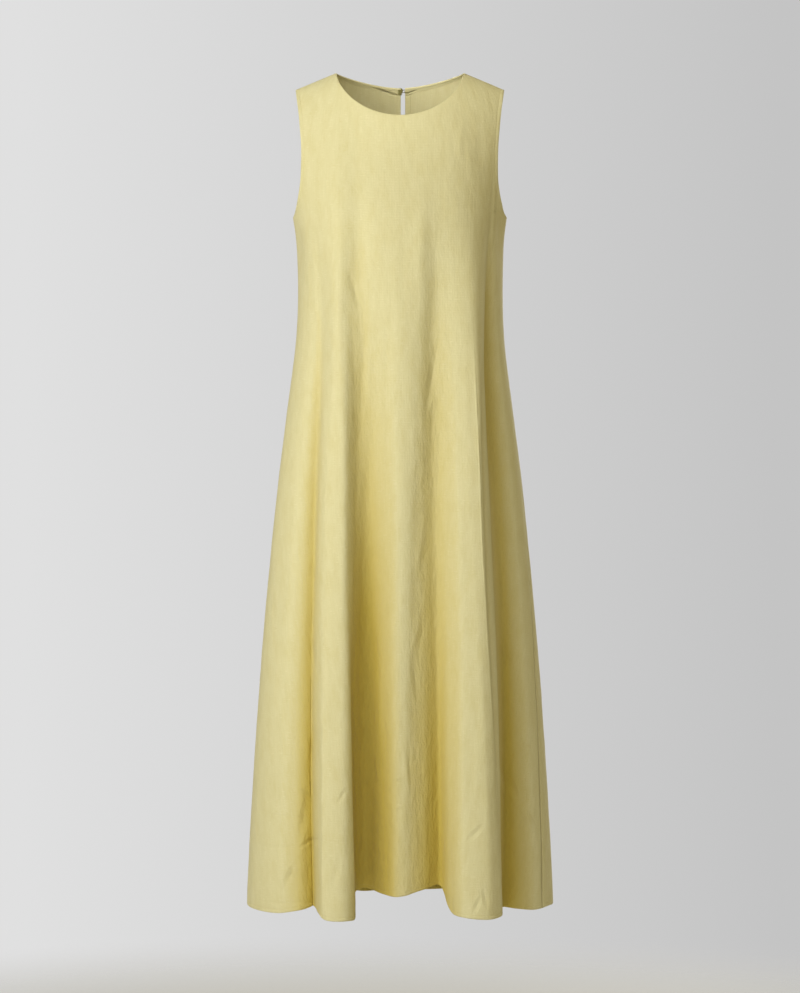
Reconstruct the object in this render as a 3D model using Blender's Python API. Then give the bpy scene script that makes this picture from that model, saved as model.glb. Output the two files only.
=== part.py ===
"""Long sleeveless A-line dress with a round neck and a buttoned slit at the back.

Metres, +Z up. The front faces -Y and +X is the wearer's left. The origin lies at
shoulder height, midway between the points where the shoulder seams meet the neck.
Angles go round the body: 0 is the centre front, 90 the wearer's left side and 180
the centre back.
"""

import math

import bmesh
import bpy
from mathutils import Matrix, Vector

WALL = 0.0016
SEAM_HALF_GAP = 0.00015
FACING_WALL = 0.0010
PIECE_GAP = 0.0003

NECK_HALF_WIDTH = 0.0960
SHOULDER_HALF_WIDTH = 0.1580
SHOULDER_SLOPE = 0.4150
TORSO_HALF_WIDTH = 0.1800
UNDERARM_Z = -0.2190
HEM_Z = -1.2540
FRONT_NECK_DROP = 0.0736
BACK_NECK_DROP = 0.0150

SLIT_LEFT_X = 0.0012
SLIT_RIGHT_X = 0.0078
SLIT_FACING_SHARE = 0.032

SKIRT_ROWS = 18
BODICE_ROWS = 13
SLIT_END_ROW = 24
ROW_CROWDING = 0.45
NECK_COLUMNS = 13
SHOULDER_COLUMNS = 16
FOLD_START = 0.05

# height, half width at the sides, depth of the front, depth of the back
BODY = (
    (0.000, 0.1800, 0.121, 0.108),
    (-0.060, 0.1800, 0.121, 0.108),
    (-0.120, 0.1750, 0.123, 0.109),
    (-0.160, 0.1700, 0.127, 0.109),
    (-0.219, 0.1616, 0.133, 0.108),
    (-0.252, 0.1570, 0.134, 0.106),
    (-0.300, 0.1545, 0.133, 0.104),
    (-0.350, 0.1540, 0.132, 0.103),
    (-0.403, 0.1568, 0.131, 0.105),
    (-0.464, 0.1640, 0.131, 0.110),
    (-0.524, 0.1720, 0.132, 0.116),
    (-0.615, 0.1835, 0.134, 0.124),
    (-0.736, 0.1960, 0.137, 0.131),
    (-0.857, 0.2070, 0.140, 0.137),
    (-1.038, 0.2200, 0.144, 0.144),
    (-1.219, 0.2300, 0.148, 0.150),
    (-1.260, 0.2315, 0.148, 0.150),
)

# height, half width between the armhole edges
ARMHOLE = (
    (-0.2190, 0.1616),
    (-0.2070, 0.1570),
    (-0.1920, 0.1522),
    (-0.1770, 0.1495),
    (-0.1620, 0.1480),
    (-0.1200, 0.1475),
    (-0.0870, 0.1500),
    (-0.0650, 0.1522),
    (-0.0460, 0.1548),
    (-0.0250, 0.1580),
)

# height, angle of the seam on the wearer's left, angle of the seam on the right
SIDE_SEAM = (
    (-0.219, 90.0, 90.0),
    (-0.450, 90.0, 91.5),
    (-0.600, 88.5, 93.0),
    (-0.800, 82.5, 94.5),
    (-1.000, 79.0, 95.5),
    (-1.260, 76.5, 96.5),
)

# name, x, y and height of a point on the hem, in order round the dress
HEM_FRONT = (
    ("right side", -0.2312, 0.0000, -1.2540),
    ("right bulge rear", -0.2180, -0.0540, -1.2545),
    ("right bulge crest", -0.1800, -0.1020, -1.2535),
    ("right bulge end", -0.1480, -0.1090, -1.2470),
    ("valley beside right fold", -0.1270, -0.0990, -1.2405),
    ("right fold outer edge", -0.1180, -0.1310, -1.2490),
    ("right fold crest, outer", -0.1060, -0.1580, -1.2555),
    ("right fold crest, inner", -0.0790, -0.1620, -1.2560),
    ("right fold inner edge", -0.0656, -0.1390, -1.2470),
    ("right fold return", -0.0670, -0.1120, -1.2280),
    ("right valley", -0.0530, -0.0890, -1.2160),
    ("centre bulge right", -0.0290, -0.1080, -1.2150),
    ("centre bulge crest, right", -0.0090, -0.1340, -1.2205),
    ("centre bulge crest, left", 0.0140, -0.1380, -1.2210),
    ("centre bulge left", 0.0370, -0.1240, -1.2165),
    ("left valley", 0.0590, -0.1030, -1.2110),
    ("left fold inner edge", 0.0750, -0.1330, -1.2400),
    ("left fold crest, inner", 0.0930, -0.1600, -1.2500),
    ("left fold crest, outer", 0.1270, -0.1630, -1.2535),
    ("left fold outer edge", 0.1478, -0.1350, -1.2520),
    ("left fold return", 0.1450, -0.1020, -1.2440),
    ("valley beside left fold", 0.1540, -0.0700, -1.2410),
    ("left bulge front", 0.1740, -0.0760, -1.2460),
    ("left bulge crest", 0.2000, -0.0730, -1.2505),
    ("left bulge rear", 0.2200, -0.0470, -1.2515),
    ("left side", 0.2312, 0.0000, -1.2540),
)

HEM_BACK = (
    ("left side", 0.2312, 0.0000, -1.2540),
    ("left rear bulge", 0.2200, 0.0500, -1.2530),
    ("left rear crest", 0.1900, 0.0930, -1.2560),
    ("left rear valley", 0.1500, 0.0980, -1.2440),
    ("left back fold", 0.1190, 0.1500, -1.2570),
    ("left back fold edge", 0.0890, 0.1400, -1.2520),
    ("left back valley", 0.0660, 0.1000, -1.2400),
    ("centre back flank", 0.0340, 0.1260, -1.2450),
    ("centre back crest", -0.0040, 0.1520, -1.2500),
    ("centre back side", -0.0320, 0.1330, -1.2450),
    ("right back valley", -0.0540, 0.1060, -1.2380),
    ("right back fold edge", -0.0760, 0.1380, -1.2500),
    ("right back fold", -0.1040, 0.1580, -1.2570),
    ("right back fold outer edge", -0.1310, 0.1360, -1.2510),
    ("right rear valley", -0.1440, 0.0980, -1.2430),
    ("right rear crest", -0.1870, 0.0920, -1.2550),
    ("right rear bulge", -0.2190, 0.0500, -1.2530),
    ("right side", -0.2312, 0.0000, -1.2540),
)

# name, angle, height, reach in degrees, reach in height, depth
HOLLOWS = (
    ("left underarm", 74.0, -0.2500, 11.0, 0.060, 0.0055),
    ("right underarm", -76.0, -0.2700, 10.0, 0.060, 0.0030),
    ("left side valley", 59.5, -0.4300, 6.5, 0.230, 0.0115),
    ("left fold ridge", 42.0, -0.4300, 9.0, 0.220, -0.0065),
    ("left valley", 20.5, -0.4200, 7.0, 0.200, 0.0035),
    ("right valley", -22.0, -0.4300, 5.5, 0.230, 0.0065),
    ("right fold ridge", -36.0, -0.4300, 8.0, 0.220, -0.0030),
    ("right bulge valley", -52.5, -0.6800, 6.0, 0.260, 0.0040),
)

BUTTON_RADIUS = 0.0045
BUTTON_THICKNESS = 0.0026
BUTTON_STEM_RADIUS = 0.0009
BUTTON_X = 0.0000
BUTTON_Z = -0.0200
BUTTON_SEGMENTS = 24
LOOP_CORD_RADIUS = 0.0006
LOOP_CORD_SIDES = 8
LOOP_BEND_RADIUS = 0.0022
LOOP_BEND_STEPS = 8
LOOP_LENGTH = 0.0120


def curve_value(keys, values, key):
    """Smooth curve through the values, held flat beyond both ends of the keys."""
    last = len(keys) - 1
    ascending = keys[last] > keys[0]
    low, high = (0, last) if ascending else (last, 0)
    if key <= keys[low]:
        return values[low]
    if key >= keys[high]:
        return values[high]
    for index in range(last):
        near, far = keys[index], keys[index + 1]
        if min(near, far) <= key <= max(near, far):
            break
    span = far - near
    share = (key - near) / span
    before = max(index - 1, 0)
    after = min(index + 2, last)
    start_slope = (values[index + 1] - values[before]) / (far - keys[before])
    end_slope = (values[after] - values[index]) / (keys[after] - near)
    square, cube = share * share, share * share * share
    return (
        (2 * cube - 3 * square + 1) * values[index]
        + (cube - 2 * square + share) * span * start_slope
        + (3 * square - 2 * cube) * values[index + 1]
        + (cube - square) * span * end_slope
    )


def column(rows, place):
    """One column of a table."""
    return [row[place] for row in rows]


BODY_Z = column(BODY, 0)
BODY_WIDTHS = column(BODY, 1)
BODY_FRONTS = column(BODY, 2)
BODY_BACKS = column(BODY, 3)


def hem_loop():
    """Angles and points of the hem; equal angles hold equal lengths of cloth."""
    angles, points = [], []
    for rows, start in ((HEM_FRONT, -90.0), (HEM_BACK, 90.0)):
        places = [Vector(row[1:4]) for row in rows]
        lengths = [0.0]
        for here, there in zip(places, places[1:]):
            lengths.append(lengths[-1] + (there - here).length)
        for place, length in zip(places[:-1], lengths[:-1]):
            angles.append(start + 180.0 * length / lengths[-1])
            points.append(place)
    around = len(angles)
    angles = [a - 360.0 for a in angles[-3:]] + angles + [a + 360.0 for a in angles[:4]]
    points = [points[(i - 3) % around] for i in range(around + 7)]
    return angles, points


HEM_ANGLES, HEM_POINTS = hem_loop()


def hem_point(angle):
    """Point on the hem at an angle."""
    turned = (angle + 90.0) % 360.0 - 90.0
    return Vector(
        [
            curve_value(HEM_ANGLES, [point[axis] for point in HEM_POINTS], turned)
            for axis in range(3)
        ]
    )


def shoulder_z(x):
    """Height of the shoulder line, rounded over where the neck would be."""
    if abs(x) >= NECK_HALF_WIDTH:
        return -SHOULDER_SLOPE * (abs(x) - NECK_HALF_WIDTH)
    return SHOULDER_SLOPE * (NECK_HALF_WIDTH**2 - x**2) / (2 * NECK_HALF_WIDTH)


def neck_z(x, drop, fullness):
    """Height of the neck edge, a rounded curve between the shoulder seams."""
    share = min(1.0, abs(x) / NECK_HALF_WIDTH)
    if fullness == "round":
        return -drop * (1.0 - share**2.0) ** 0.6
    return -drop * (1.0 - share**1.6) ** 1.05


def top_z(x, is_front):
    """Height of the upper edge of a panel: neck edge or shoulder seam."""
    if abs(x) >= NECK_HALF_WIDTH:
        return shoulder_z(x)
    if is_front:
        return neck_z(x, FRONT_NECK_DROP, "round")
    return neck_z(x, BACK_NECK_DROP, "shallow")


def body_point(angle, z):
    """Point of the plain body, before any fold."""
    turn = math.radians(angle)
    x = curve_value(BODY_Z, BODY_WIDTHS, z) * math.sin(turn)
    is_front = math.cos(turn) > 0.0
    below = max(0.0, shoulder_z(x) - z)
    if is_front:
        rise = math.sin(math.pi / 2 * min(1.0, below / 0.40) ** 0.60)
        depth = curve_value(BODY_Z, BODY_FRONTS, z)
    else:
        rise = math.sin(math.pi / 2 * min(1.0, below / 0.28) ** 0.55)
        depth = curve_value(BODY_Z, BODY_BACKS, z)
    return Vector((x, -depth * rise * math.cos(turn), z))


def cloth_point(angle, z):
    """Point of the hanging cloth: the body, its folds and the hollows under the arms."""
    point = body_point(angle, z)
    hem = hem_point(angle)
    if z < UNDERARM_Z:
        down = (UNDERARM_Z - z) / (UNDERARM_Z - hem.z)
        growth = down**2 * (1.0 + FOLD_START) / (down + FOLD_START)
        stretch = hem - body_point(angle, hem.z)
        point.x += stretch.x * growth
        point.y += stretch.y * growth
    turn = math.radians(angle)
    outward = Vector((math.sin(turn), -math.cos(turn), 0.0))
    for _, at_angle, at_z, reach, length, depth in HOLLOWS:
        far = ((angle - at_angle) / reach) ** 2 + ((z - at_z) / length) ** 2
        point -= outward * depth * math.exp(-far)
    return point


def cloth_normal(angle, z):
    """Direction straight out of the cloth."""
    across = cloth_point(angle + 0.3, z) - cloth_point(angle - 0.3, z)
    up = cloth_point(angle, z + 0.0005) - cloth_point(angle, z - 0.0005)
    return across.cross(up).normalized()


def bodice_angle(share, edge_angle):
    """Angle of a column above the underarm, from the middle (0) to the armhole (1)."""
    return 90.0 * share - (90.0 - edge_angle) * share**1.5


def slit_angle(x):
    """Angle from the centre back of a slit edge at the neck."""
    return math.degrees(math.asin(x / TORSO_HALF_WIDTH))


def started(angle, whole, start):
    """The angle moved so that the columns begin at the start angle instead of 0."""
    return start + angle * (1.0 - start / whole)


def column_shares(start):
    """Shares of the columns on one side, with one exactly at the neck point."""
    tip = math.degrees(math.asin(SHOULDER_HALF_WIDTH / TORSO_HALF_WIDTH))
    wanted = math.degrees(math.asin(NECK_HALF_WIDTH / TORSO_HALF_WIDTH))
    low, high = 0.0, 1.0
    for _ in range(50):
        middle = (low + high) / 2
        if started(bodice_angle(middle, tip), tip, start) < wanted:
            low = middle
        else:
            high = middle
    first = 0.0 if start == 0.0 else SLIT_FACING_SHARE
    shares = [] if start == 0.0 else [0.0]
    inner = NECK_COLUMNS - len(shares)
    shares += [first + (low - first) * i / inner for i in range(inner)]
    return shares + [
        low + (1.0 - low) * i / SHOULDER_COLUMNS for i in range(SHOULDER_COLUMNS + 1)
    ]


def panel_columns(is_front):
    """Columns of a panel from the wearer's right to left: side, share and start angle."""
    if is_front:
        shares = column_shares(0.0)
        right = [(-1.0, share, 0.0) for share in reversed(shares[1:])]
        return right + [(1.0, share, 0.0) for share in shares]
    near, far = slit_angle(SLIT_LEFT_X), slit_angle(SLIT_RIGHT_X)
    right = [(-1.0, share, -near) for share in reversed(column_shares(-near))]
    return right + [(1.0, share, far) for share in column_shares(far)]


def spread(index, count):
    """Share of a row, with rows closer together near both ends."""
    share = index / count
    return share - ROW_CROWDING * math.sin(2 * math.pi * share) / (2 * math.pi)


def skirt_place(is_front, side, share, start, row):
    """Angle and height of a grid point between the hem and the underarm."""
    level = row / SKIRT_ROWS
    hand = side if is_front else -side
    seam_z = UNDERARM_Z + (HEM_Z - UNDERARM_Z) * (1.0 - level)
    seam = curve_value(column(SIDE_SEAM, 0), column(SIDE_SEAM, 1 if side > 0 else 2), seam_z)
    whole = seam if is_front else 180.0 - seam
    step = cloth_point(side * seam + 0.5, seam_z) - cloth_point(side * seam - 0.5, seam_z)
    whole -= SEAM_HALF_GAP / step.length
    angle = (0.0 if is_front else 180.0) + hand * started(whole * share, whole, start)
    hem_z = hem_point(angle).z
    return angle, hem_z + (UNDERARM_Z - hem_z) * level


def bodice_place(is_front, side, share, start, row):
    """Angle and height of a grid point between the underarm and the shoulder."""
    level = spread(row - SKIRT_ROWS, BODICE_ROWS)
    hand = side if is_front else -side
    edge_z = UNDERARM_Z + (shoulder_z(SHOULDER_HALF_WIDTH) - UNDERARM_Z) * level
    tip = math.degrees(math.asin(SHOULDER_HALF_WIDTH / TORSO_HALF_WIDTH))
    top_angle = started(bodice_angle(share, tip), tip, start)
    top_x = side * TORSO_HALF_WIDTH * math.sin(math.radians(top_angle))
    z = UNDERARM_Z + (top_z(top_x, is_front) - UNDERARM_Z) * level
    edge_x = curve_value(column(ARMHOLE, 0), column(ARMHOLE, 1), edge_z)
    reach = min(1.0, edge_x / curve_value(BODY_Z, BODY_WIDTHS, edge_z))
    edge_angle = math.degrees(math.asin(reach))
    angle = started(bodice_angle(share, edge_angle), edge_angle, start)
    return (0.0 if is_front else 180.0) + hand * angle, z


class Panel:
    """Grid of points on the outer face of a panel, with the directions out of it.

    Rows run from the hem up, columns from the wearer's right to the left.
    """

    def __init__(self, is_front):
        self.is_front = is_front
        self.columns = panel_columns(is_front)
        self.top = SKIRT_ROWS + BODICE_ROWS
        self.points = []
        self.normals = []
        for row in range(self.top + 1):
            self.points.append([])
            self.normals.append([])
            for place in self.columns:
                self.add(row, place)

    def add(self, row, place):
        """Add the point of one column to a row."""
        where = skirt_place if row <= SKIRT_ROWS else bodice_place
        angle, z = where(self.is_front, *place, row)
        point = cloth_point(angle, z)
        normal = cloth_normal(angle, z)
        if row > SKIRT_ROWS:
            point.y += -SEAM_HALF_GAP if self.is_front else SEAM_HALF_GAP
        if row == self.top and abs(point.x) > NECK_HALF_WIDTH - 0.0001:
            normal = Vector((normal.x, 0.0, normal.z)).normalized()
        self.points[-1].append(point)
        self.normals[-1].append(normal)

    def slit_faces(self):
        """Faces left out for the slit."""
        middle = len(self.columns) // 2 - 1
        rows = range(SLIT_END_ROW, self.top)
        return set() if self.is_front else {(row, middle) for row in rows}

    def inside(self, row, place, depth):
        """Point at a depth under the outer face; rows may lie between two grid rows."""
        low = min(int(row), self.top - 1)
        share = row - low
        point = self.points[low][place].lerp(self.points[low + 1][place], share)
        normal = self.normals[low][place].lerp(self.normals[low + 1][place], share)
        return point - normal * depth

    def falls(self, row, place):
        """True where the shorter diagonal of a face runs down from its first column."""
        low = min(int(row), self.top - 1)
        rising = self.points[low][place] - self.points[low + 1][place + 1]
        falling = self.points[low + 1][place] - self.points[low][place + 1]
        return falling.length < rising.length

    def sheet(self, name, rows, columns, depth, wall, material, left_out=()):
        """Solid sheet that follows part of the grid at a depth under its outer face."""
        outer = [[self.inside(r, c, depth) for c in columns] for r in rows]
        inner = [[self.inside(r, c, depth + wall) for c in columns] for r in rows]
        faces = {}
        for i, row in enumerate(rows[:-1]):
            for j, place in enumerate(columns[:-1]):
                if (i, j) not in left_out:
                    faces[i, j] = self.falls(row, place)
        return solid_sheet(name, outer, inner, material, faces, self.is_front)


def solid_sheet(name, outer, inner, material, faces, is_front):
    """Closed body between two grids of points, walled round every open edge."""
    mesh = bmesh.new()
    outer_verts = [[mesh.verts.new(point) for point in line] for line in outer]
    inner_verts = [[mesh.verts.new(point) for point in line] for line in inner]
    pairs = {}
    for outer_line, inner_line in zip(outer_verts, inner_verts):
        pairs.update(zip(outer_line, inner_line))
    for (row, place), falls in faces.items():
        low, high = outer_verts[row], outer_verts[row + 1]
        corners = [low[place], low[place + 1], high[place + 1], high[place]]
        if falls:
            corners = corners[1:] + corners[:1]
        for half in (corners[:3], [corners[0], *corners[2:]]):
            if not is_front:
                half.reverse()
            mesh.faces.new(half)
            mesh.faces.new([pairs[corner] for corner in reversed(half)])
    rim = [
        edge
        for edge in mesh.edges
        if len(edge.link_faces) == 1 and edge.verts[0] in pairs
    ]
    for edge in rim:
        loop = edge.link_loops[0]
        start, end = loop.vert, loop.link_loop_next.vert
        mesh.faces.new((end, start, pairs[start], pairs[end]))
    loose = [vert for vert in mesh.verts if not vert.link_faces]
    bmesh.ops.delete(mesh, geom=loose, context="VERTS")
    return link_mesh(name, mesh, material)


def link_mesh(name, mesh, material):
    """Scene object from an edited mesh."""
    data = bpy.data.meshes.new(name)
    mesh.normal_update()
    mesh.to_mesh(data)
    mesh.free()
    built = bpy.data.objects.new(name, data)
    built.data.materials.append(material)
    bpy.context.collection.objects.link(built)
    return built


def finish(name, colour, roughness):
    """Plain surface finish."""
    material = bpy.data.materials.new(name)
    material.use_nodes = True
    shader = material.node_tree.nodes["Principled BSDF"]
    shader.inputs["Base Color"].default_value = (*colour, 1.0)
    shader.inputs["Roughness"].default_value = roughness
    return material


def whole_panel(name, panel, material):
    """The front or the back, from the hem to the neck and shoulders."""
    rows = range(panel.top + 1)
    columns = range(len(panel.columns))
    return panel.sheet(name, rows, columns, 0.0, WALL, material, panel.slit_faces())


def neck_facing(name, panel, columns, material):
    """Narrow strip under the neck edge."""
    rows = (panel.top - 1, panel.top)
    return panel.sheet(name, rows, columns, WALL + PIECE_GAP, FACING_WALL, material)


def neck_columns(panel, side):
    """Columns of the neck and one past each neck point; side 0 takes both sides."""
    middle = len(panel.columns) // 2
    reach = NECK_COLUMNS + 1
    if panel.is_front:
        return range(middle - reach, middle + reach + 1)
    if side > 0:
        return range(middle, middle + reach + 1)
    return range(middle - 1 - reach, middle)


def slit_facing(panel, material):
    """Strip round the slit, inside the back and below the neck facing."""
    middle = len(panel.columns) // 2
    rows = [SLIT_END_ROW - 0.4, *range(SLIT_END_ROW, panel.top - 1), panel.top - 1.05]
    columns = range(middle - 2, middle + 2)
    open_faces = {(row, 1) for row in range(1, len(rows) - 1)}
    depth = WALL + PIECE_GAP
    return panel.sheet("slit_facing", rows, columns, depth, FACING_WALL, material, open_faces)


def surface_frame(x, z):
    """Placing matrix on the outer face of the back: X across it, Z straight out of it."""
    turn = 180.0 - math.degrees(math.asin(x / TORSO_HALF_WIDTH))
    here = cloth_point(turn, z) + Vector((0.0, SEAM_HALF_GAP, 0.0))
    outward = cloth_normal(turn, z)
    across = (Vector((1.0, 0.0, 0.0)) - outward * outward.x).normalized()
    turned = Matrix((across, outward.cross(across), outward)).transposed().to_4x4()
    return Matrix.Translation(here) @ turned


def button(material):
    """Domed button on a short stem, turned about the line out of the back."""
    under = PIECE_GAP + 2 * LOOP_CORD_RADIUS + PIECE_GAP * 2
    outline = (
        (0.0, PIECE_GAP),
        (BUTTON_STEM_RADIUS, PIECE_GAP),
        (BUTTON_STEM_RADIUS, under),
        (BUTTON_RADIUS * 0.90, under),
        (BUTTON_RADIUS, under + BUTTON_THICKNESS * 0.35),
        (BUTTON_RADIUS * 0.90, under + BUTTON_THICKNESS * 0.66),
        (BUTTON_RADIUS * 0.55, under + BUTTON_THICKNESS * 0.94),
        (0.0, under + BUTTON_THICKNESS),
    )
    mesh = bmesh.new()
    verts = [mesh.verts.new((radius, 0.0, height)) for radius, height in outline]
    edges = [mesh.edges.new(pair) for pair in zip(verts, verts[1:])]
    bmesh.ops.spin(
        mesh,
        geom=verts + edges,
        cent=(0.0, 0.0, 0.0),
        axis=(0.0, 0.0, 1.0),
        angle=2 * math.pi,
        steps=BUTTON_SEGMENTS,
        use_merge=True,
    )
    bmesh.ops.remove_doubles(mesh, verts=mesh.verts[:], dist=1e-6)
    bmesh.ops.recalc_face_normals(mesh, faces=mesh.faces[:])
    bmesh.ops.transform(mesh, matrix=surface_frame(BUTTON_X, BUTTON_Z), verts=mesh.verts[:])
    return link_mesh("button", mesh, material)


def button_loop(material):
    """Closed cord round the button stem, sewn down beyond the other edge of the slit."""
    mesh = bmesh.new()
    rings = []
    for centre_x, start in ((0.0, 90.0), (LOOP_LENGTH, -90.0)):
        for index in range(LOOP_BEND_STEPS + 1):
            turn = math.radians(start + 180.0 * index / LOOP_BEND_STEPS)
            outward = Vector((math.cos(turn), math.sin(turn), 0.0))
            centre = Vector((centre_x, 0.0, PIECE_GAP + LOOP_CORD_RADIUS))
            centre += outward * LOOP_BEND_RADIUS
            ring = []
            for side in range(LOOP_CORD_SIDES):
                around = 2 * math.pi * side / LOOP_CORD_SIDES
                offset = outward * math.cos(around) + Vector((0.0, 0.0, math.sin(around)))
                ring.append(mesh.verts.new(centre + offset * LOOP_CORD_RADIUS))
            rings.append(ring)
    for here, there in zip(rings, rings[1:] + rings[:1]):
        for side in range(LOOP_CORD_SIDES):
            after = (side + 1) % LOOP_CORD_SIDES
            mesh.faces.new((here[side], here[after], there[after], there[side]))
    bmesh.ops.recalc_face_normals(mesh, faces=mesh.faces[:])
    bmesh.ops.transform(mesh, matrix=surface_frame(BUTTON_X, BUTTON_Z), verts=mesh.verts[:])
    return link_mesh("button_loop", mesh, material)


def main():
    """Clear the scene and build every piece of the dress."""
    for old in list(bpy.data.objects):
        bpy.data.objects.remove(old)
    linen = (0.760, 0.690, 0.370)
    front, back = Panel(True), Panel(False)
    whole_panel("front", front, finish("front linen", linen, 0.85))
    whole_panel("back", back, finish("back linen", linen, 0.85))
    for name, panel, side in (
        ("neck_facing_front", front, 0),
        ("neck_facing_back_left", back, 1),
        ("neck_facing_back_right", back, -1),
    ):
        colour = finish(name.replace("_", " "), linen, 0.85)
        neck_facing(name, panel, neck_columns(panel, side), colour)
    slit_facing(back, finish("slit facing", linen, 0.85))
    button(finish("button cover", (0.560, 0.500, 0.240), 0.60))
    button_loop(finish("loop cord", (0.600, 0.540, 0.270), 0.80))


main()
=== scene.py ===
"""Looks of a long sleeveless A-line dress in pale yellow linen.

Metres, +Z up. The front faces -Y and +X is the wearer's left. Angles go round the
body in degrees: 0 is the centre front, 90 the wearer's left side and 180 the centre
back. Each panel is one sheet with its edges turned in, as a maker would press it.
"""

import logging
import math
from collections.abc import Sequence
from dataclasses import dataclass, field
from enum import Enum

import bmesh
import bpy
import numpy as np
from mathutils import Matrix, Vector, noise


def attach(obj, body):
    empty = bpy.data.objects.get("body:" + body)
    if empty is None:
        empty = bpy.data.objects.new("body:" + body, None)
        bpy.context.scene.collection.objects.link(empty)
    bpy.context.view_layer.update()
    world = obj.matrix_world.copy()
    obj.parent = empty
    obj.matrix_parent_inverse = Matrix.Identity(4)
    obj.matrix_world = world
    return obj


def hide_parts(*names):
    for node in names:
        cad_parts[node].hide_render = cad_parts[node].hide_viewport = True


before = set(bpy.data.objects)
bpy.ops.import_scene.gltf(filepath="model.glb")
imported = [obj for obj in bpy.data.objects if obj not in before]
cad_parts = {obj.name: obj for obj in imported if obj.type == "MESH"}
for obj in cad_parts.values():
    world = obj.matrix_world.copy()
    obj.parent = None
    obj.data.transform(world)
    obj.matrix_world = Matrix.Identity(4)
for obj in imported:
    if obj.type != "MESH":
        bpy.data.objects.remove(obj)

LOG = logging.getLogger("dress")
MM = 0.001
BODY = "root"

# what a grid line holds in place of a distance, away from the panel's edges
INNER = -1.0
SLIT = -2.0

Array = np.ndarray
Finish = bpy.types.Material
Mesh = bmesh.types.BMesh
Piece = bpy.types.Object
Place = tuple[float, float, float]
Socket = bpy.types.NodeSocket
Streak = tuple[float, float, float]
Tree = bpy.types.NodeTree

# height, half width at the sides, depth of the front, depth of the back
BODY_LEVELS = (
    (0.0, 0.18, 0.121, 0.108), (-0.06, 0.18, 0.121, 0.108), (-0.12, 0.175, 0.123, 0.109),
    (-0.16, 0.17, 0.127, 0.109), (-0.219, 0.1616, 0.133, 0.108), (-0.252, 0.157, 0.134, 0.106),
    (-0.3, 0.1545, 0.133, 0.104), (-0.35, 0.154, 0.132, 0.103), (-0.403, 0.1568, 0.131, 0.105),
    (-0.464, 0.164, 0.131, 0.11), (-0.524, 0.172, 0.132, 0.116), (-0.615, 0.1835, 0.134, 0.124),
    (-0.736, 0.196, 0.137, 0.131), (-0.857, 0.207, 0.14, 0.137), (-1.038, 0.22, 0.144, 0.144),
    (-1.219, 0.23, 0.148, 0.15), (-1.26, 0.2315, 0.148, 0.15),
)

# height, half width between the armhole edges
ARMHOLE = (
    (-0.219, 0.1616), (-0.207, 0.157), (-0.192, 0.1522),
    (-0.177, 0.1495), (-0.162, 0.148), (-0.12, 0.1475),
    (-0.087, 0.15), (-0.065, 0.1522), (-0.046, 0.1548),
    (-0.025, 0.158),
)

# height, angle of the seam on the wearer's left, angle of the seam on the right
SIDE_SEAM = (
    (-0.219, 90.0, 90.0), (-0.45, 90.0, 91.5), (-0.6, 88.5, 93.0),
    (-0.8, 82.5, 94.5), (-1.0, 79.0, 95.5), (-1.26, 76.5, 96.5),
)

# name, x, y and height of a point on the hem, in order round the dress
HEM_FRONT = (
    ("right side", -0.2312, 0.0, -1.254),
    ("right bulge rear", -0.218, -0.054, -1.2545),
    ("right bulge crest", -0.18, -0.102, -1.2535),
    ("right bulge end", -0.148, -0.109, -1.248),
    ("valley beside right fold", -0.127, -0.099, -1.242),
    ("right fold outer edge", -0.118, -0.131, -1.249),
    ("right fold crest, outer", -0.106, -0.158, -1.2555),
    ("right fold crest, inner", -0.079, -0.162, -1.256),
    ("right fold inner edge", -0.0656, -0.139, -1.254),
    ("right fold return", -0.067, -0.112, -1.228),
    ("right valley", -0.053, -0.089, -1.2185),
    ("centre bulge right", -0.029, -0.108, -1.224),
    ("centre bulge crest, right", -0.009, -0.134, -1.2255),
    ("centre bulge crest, left", 0.014, -0.138, -1.2225),
    ("centre bulge left", 0.037, -0.124, -1.2165),
    ("left valley", 0.059, -0.103, -1.2125),
    ("left fold inner edge", 0.075, -0.133, -1.246),
    ("left fold crest, inner", 0.093, -0.16, -1.251),
    ("left fold crest, outer", 0.127, -0.163, -1.2535),
    ("left fold outer edge", 0.1478, -0.135, -1.252),
    ("left fold return", 0.145, -0.102, -1.25),
    ("valley beside left fold", 0.154, -0.07, -1.249),
    ("left bulge front", 0.174, -0.076, -1.251),
    ("left bulge crest", 0.2, -0.073, -1.253),
    ("left bulge rear", 0.22, -0.047, -1.2515),
    ("left side", 0.2312, 0.0, -1.254),
)

HEM_BACK = (
    ("left side", 0.2312, 0.0, -1.254),
    ("left rear bulge", 0.22, 0.05, -1.253),
    ("left rear crest", 0.19, 0.093, -1.256),
    ("left rear valley", 0.15, 0.098, -1.244),
    ("left back fold", 0.119, 0.15, -1.257),
    ("left back fold edge", 0.089, 0.14, -1.252),
    ("left back valley", 0.066, 0.1, -1.247),
    ("centre back flank", 0.034, 0.126, -1.252),
    ("centre back crest", -0.004, 0.152, -1.255),
    ("centre back side", -0.032, 0.133, -1.254),
    ("right back valley", -0.054, 0.106, -1.2515),
    ("right back fold edge", -0.076, 0.138, -1.255),
    ("right back fold", -0.104, 0.158, -1.257),
    ("right back fold outer edge", -0.131, 0.136, -1.251),
    ("right rear valley", -0.144, 0.098, -1.243),
    ("right rear crest", -0.187, 0.092, -1.255),
    ("right rear bulge", -0.219, 0.05, -1.253),
    ("right side", -0.2312, 0.0, -1.254),
)

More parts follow.
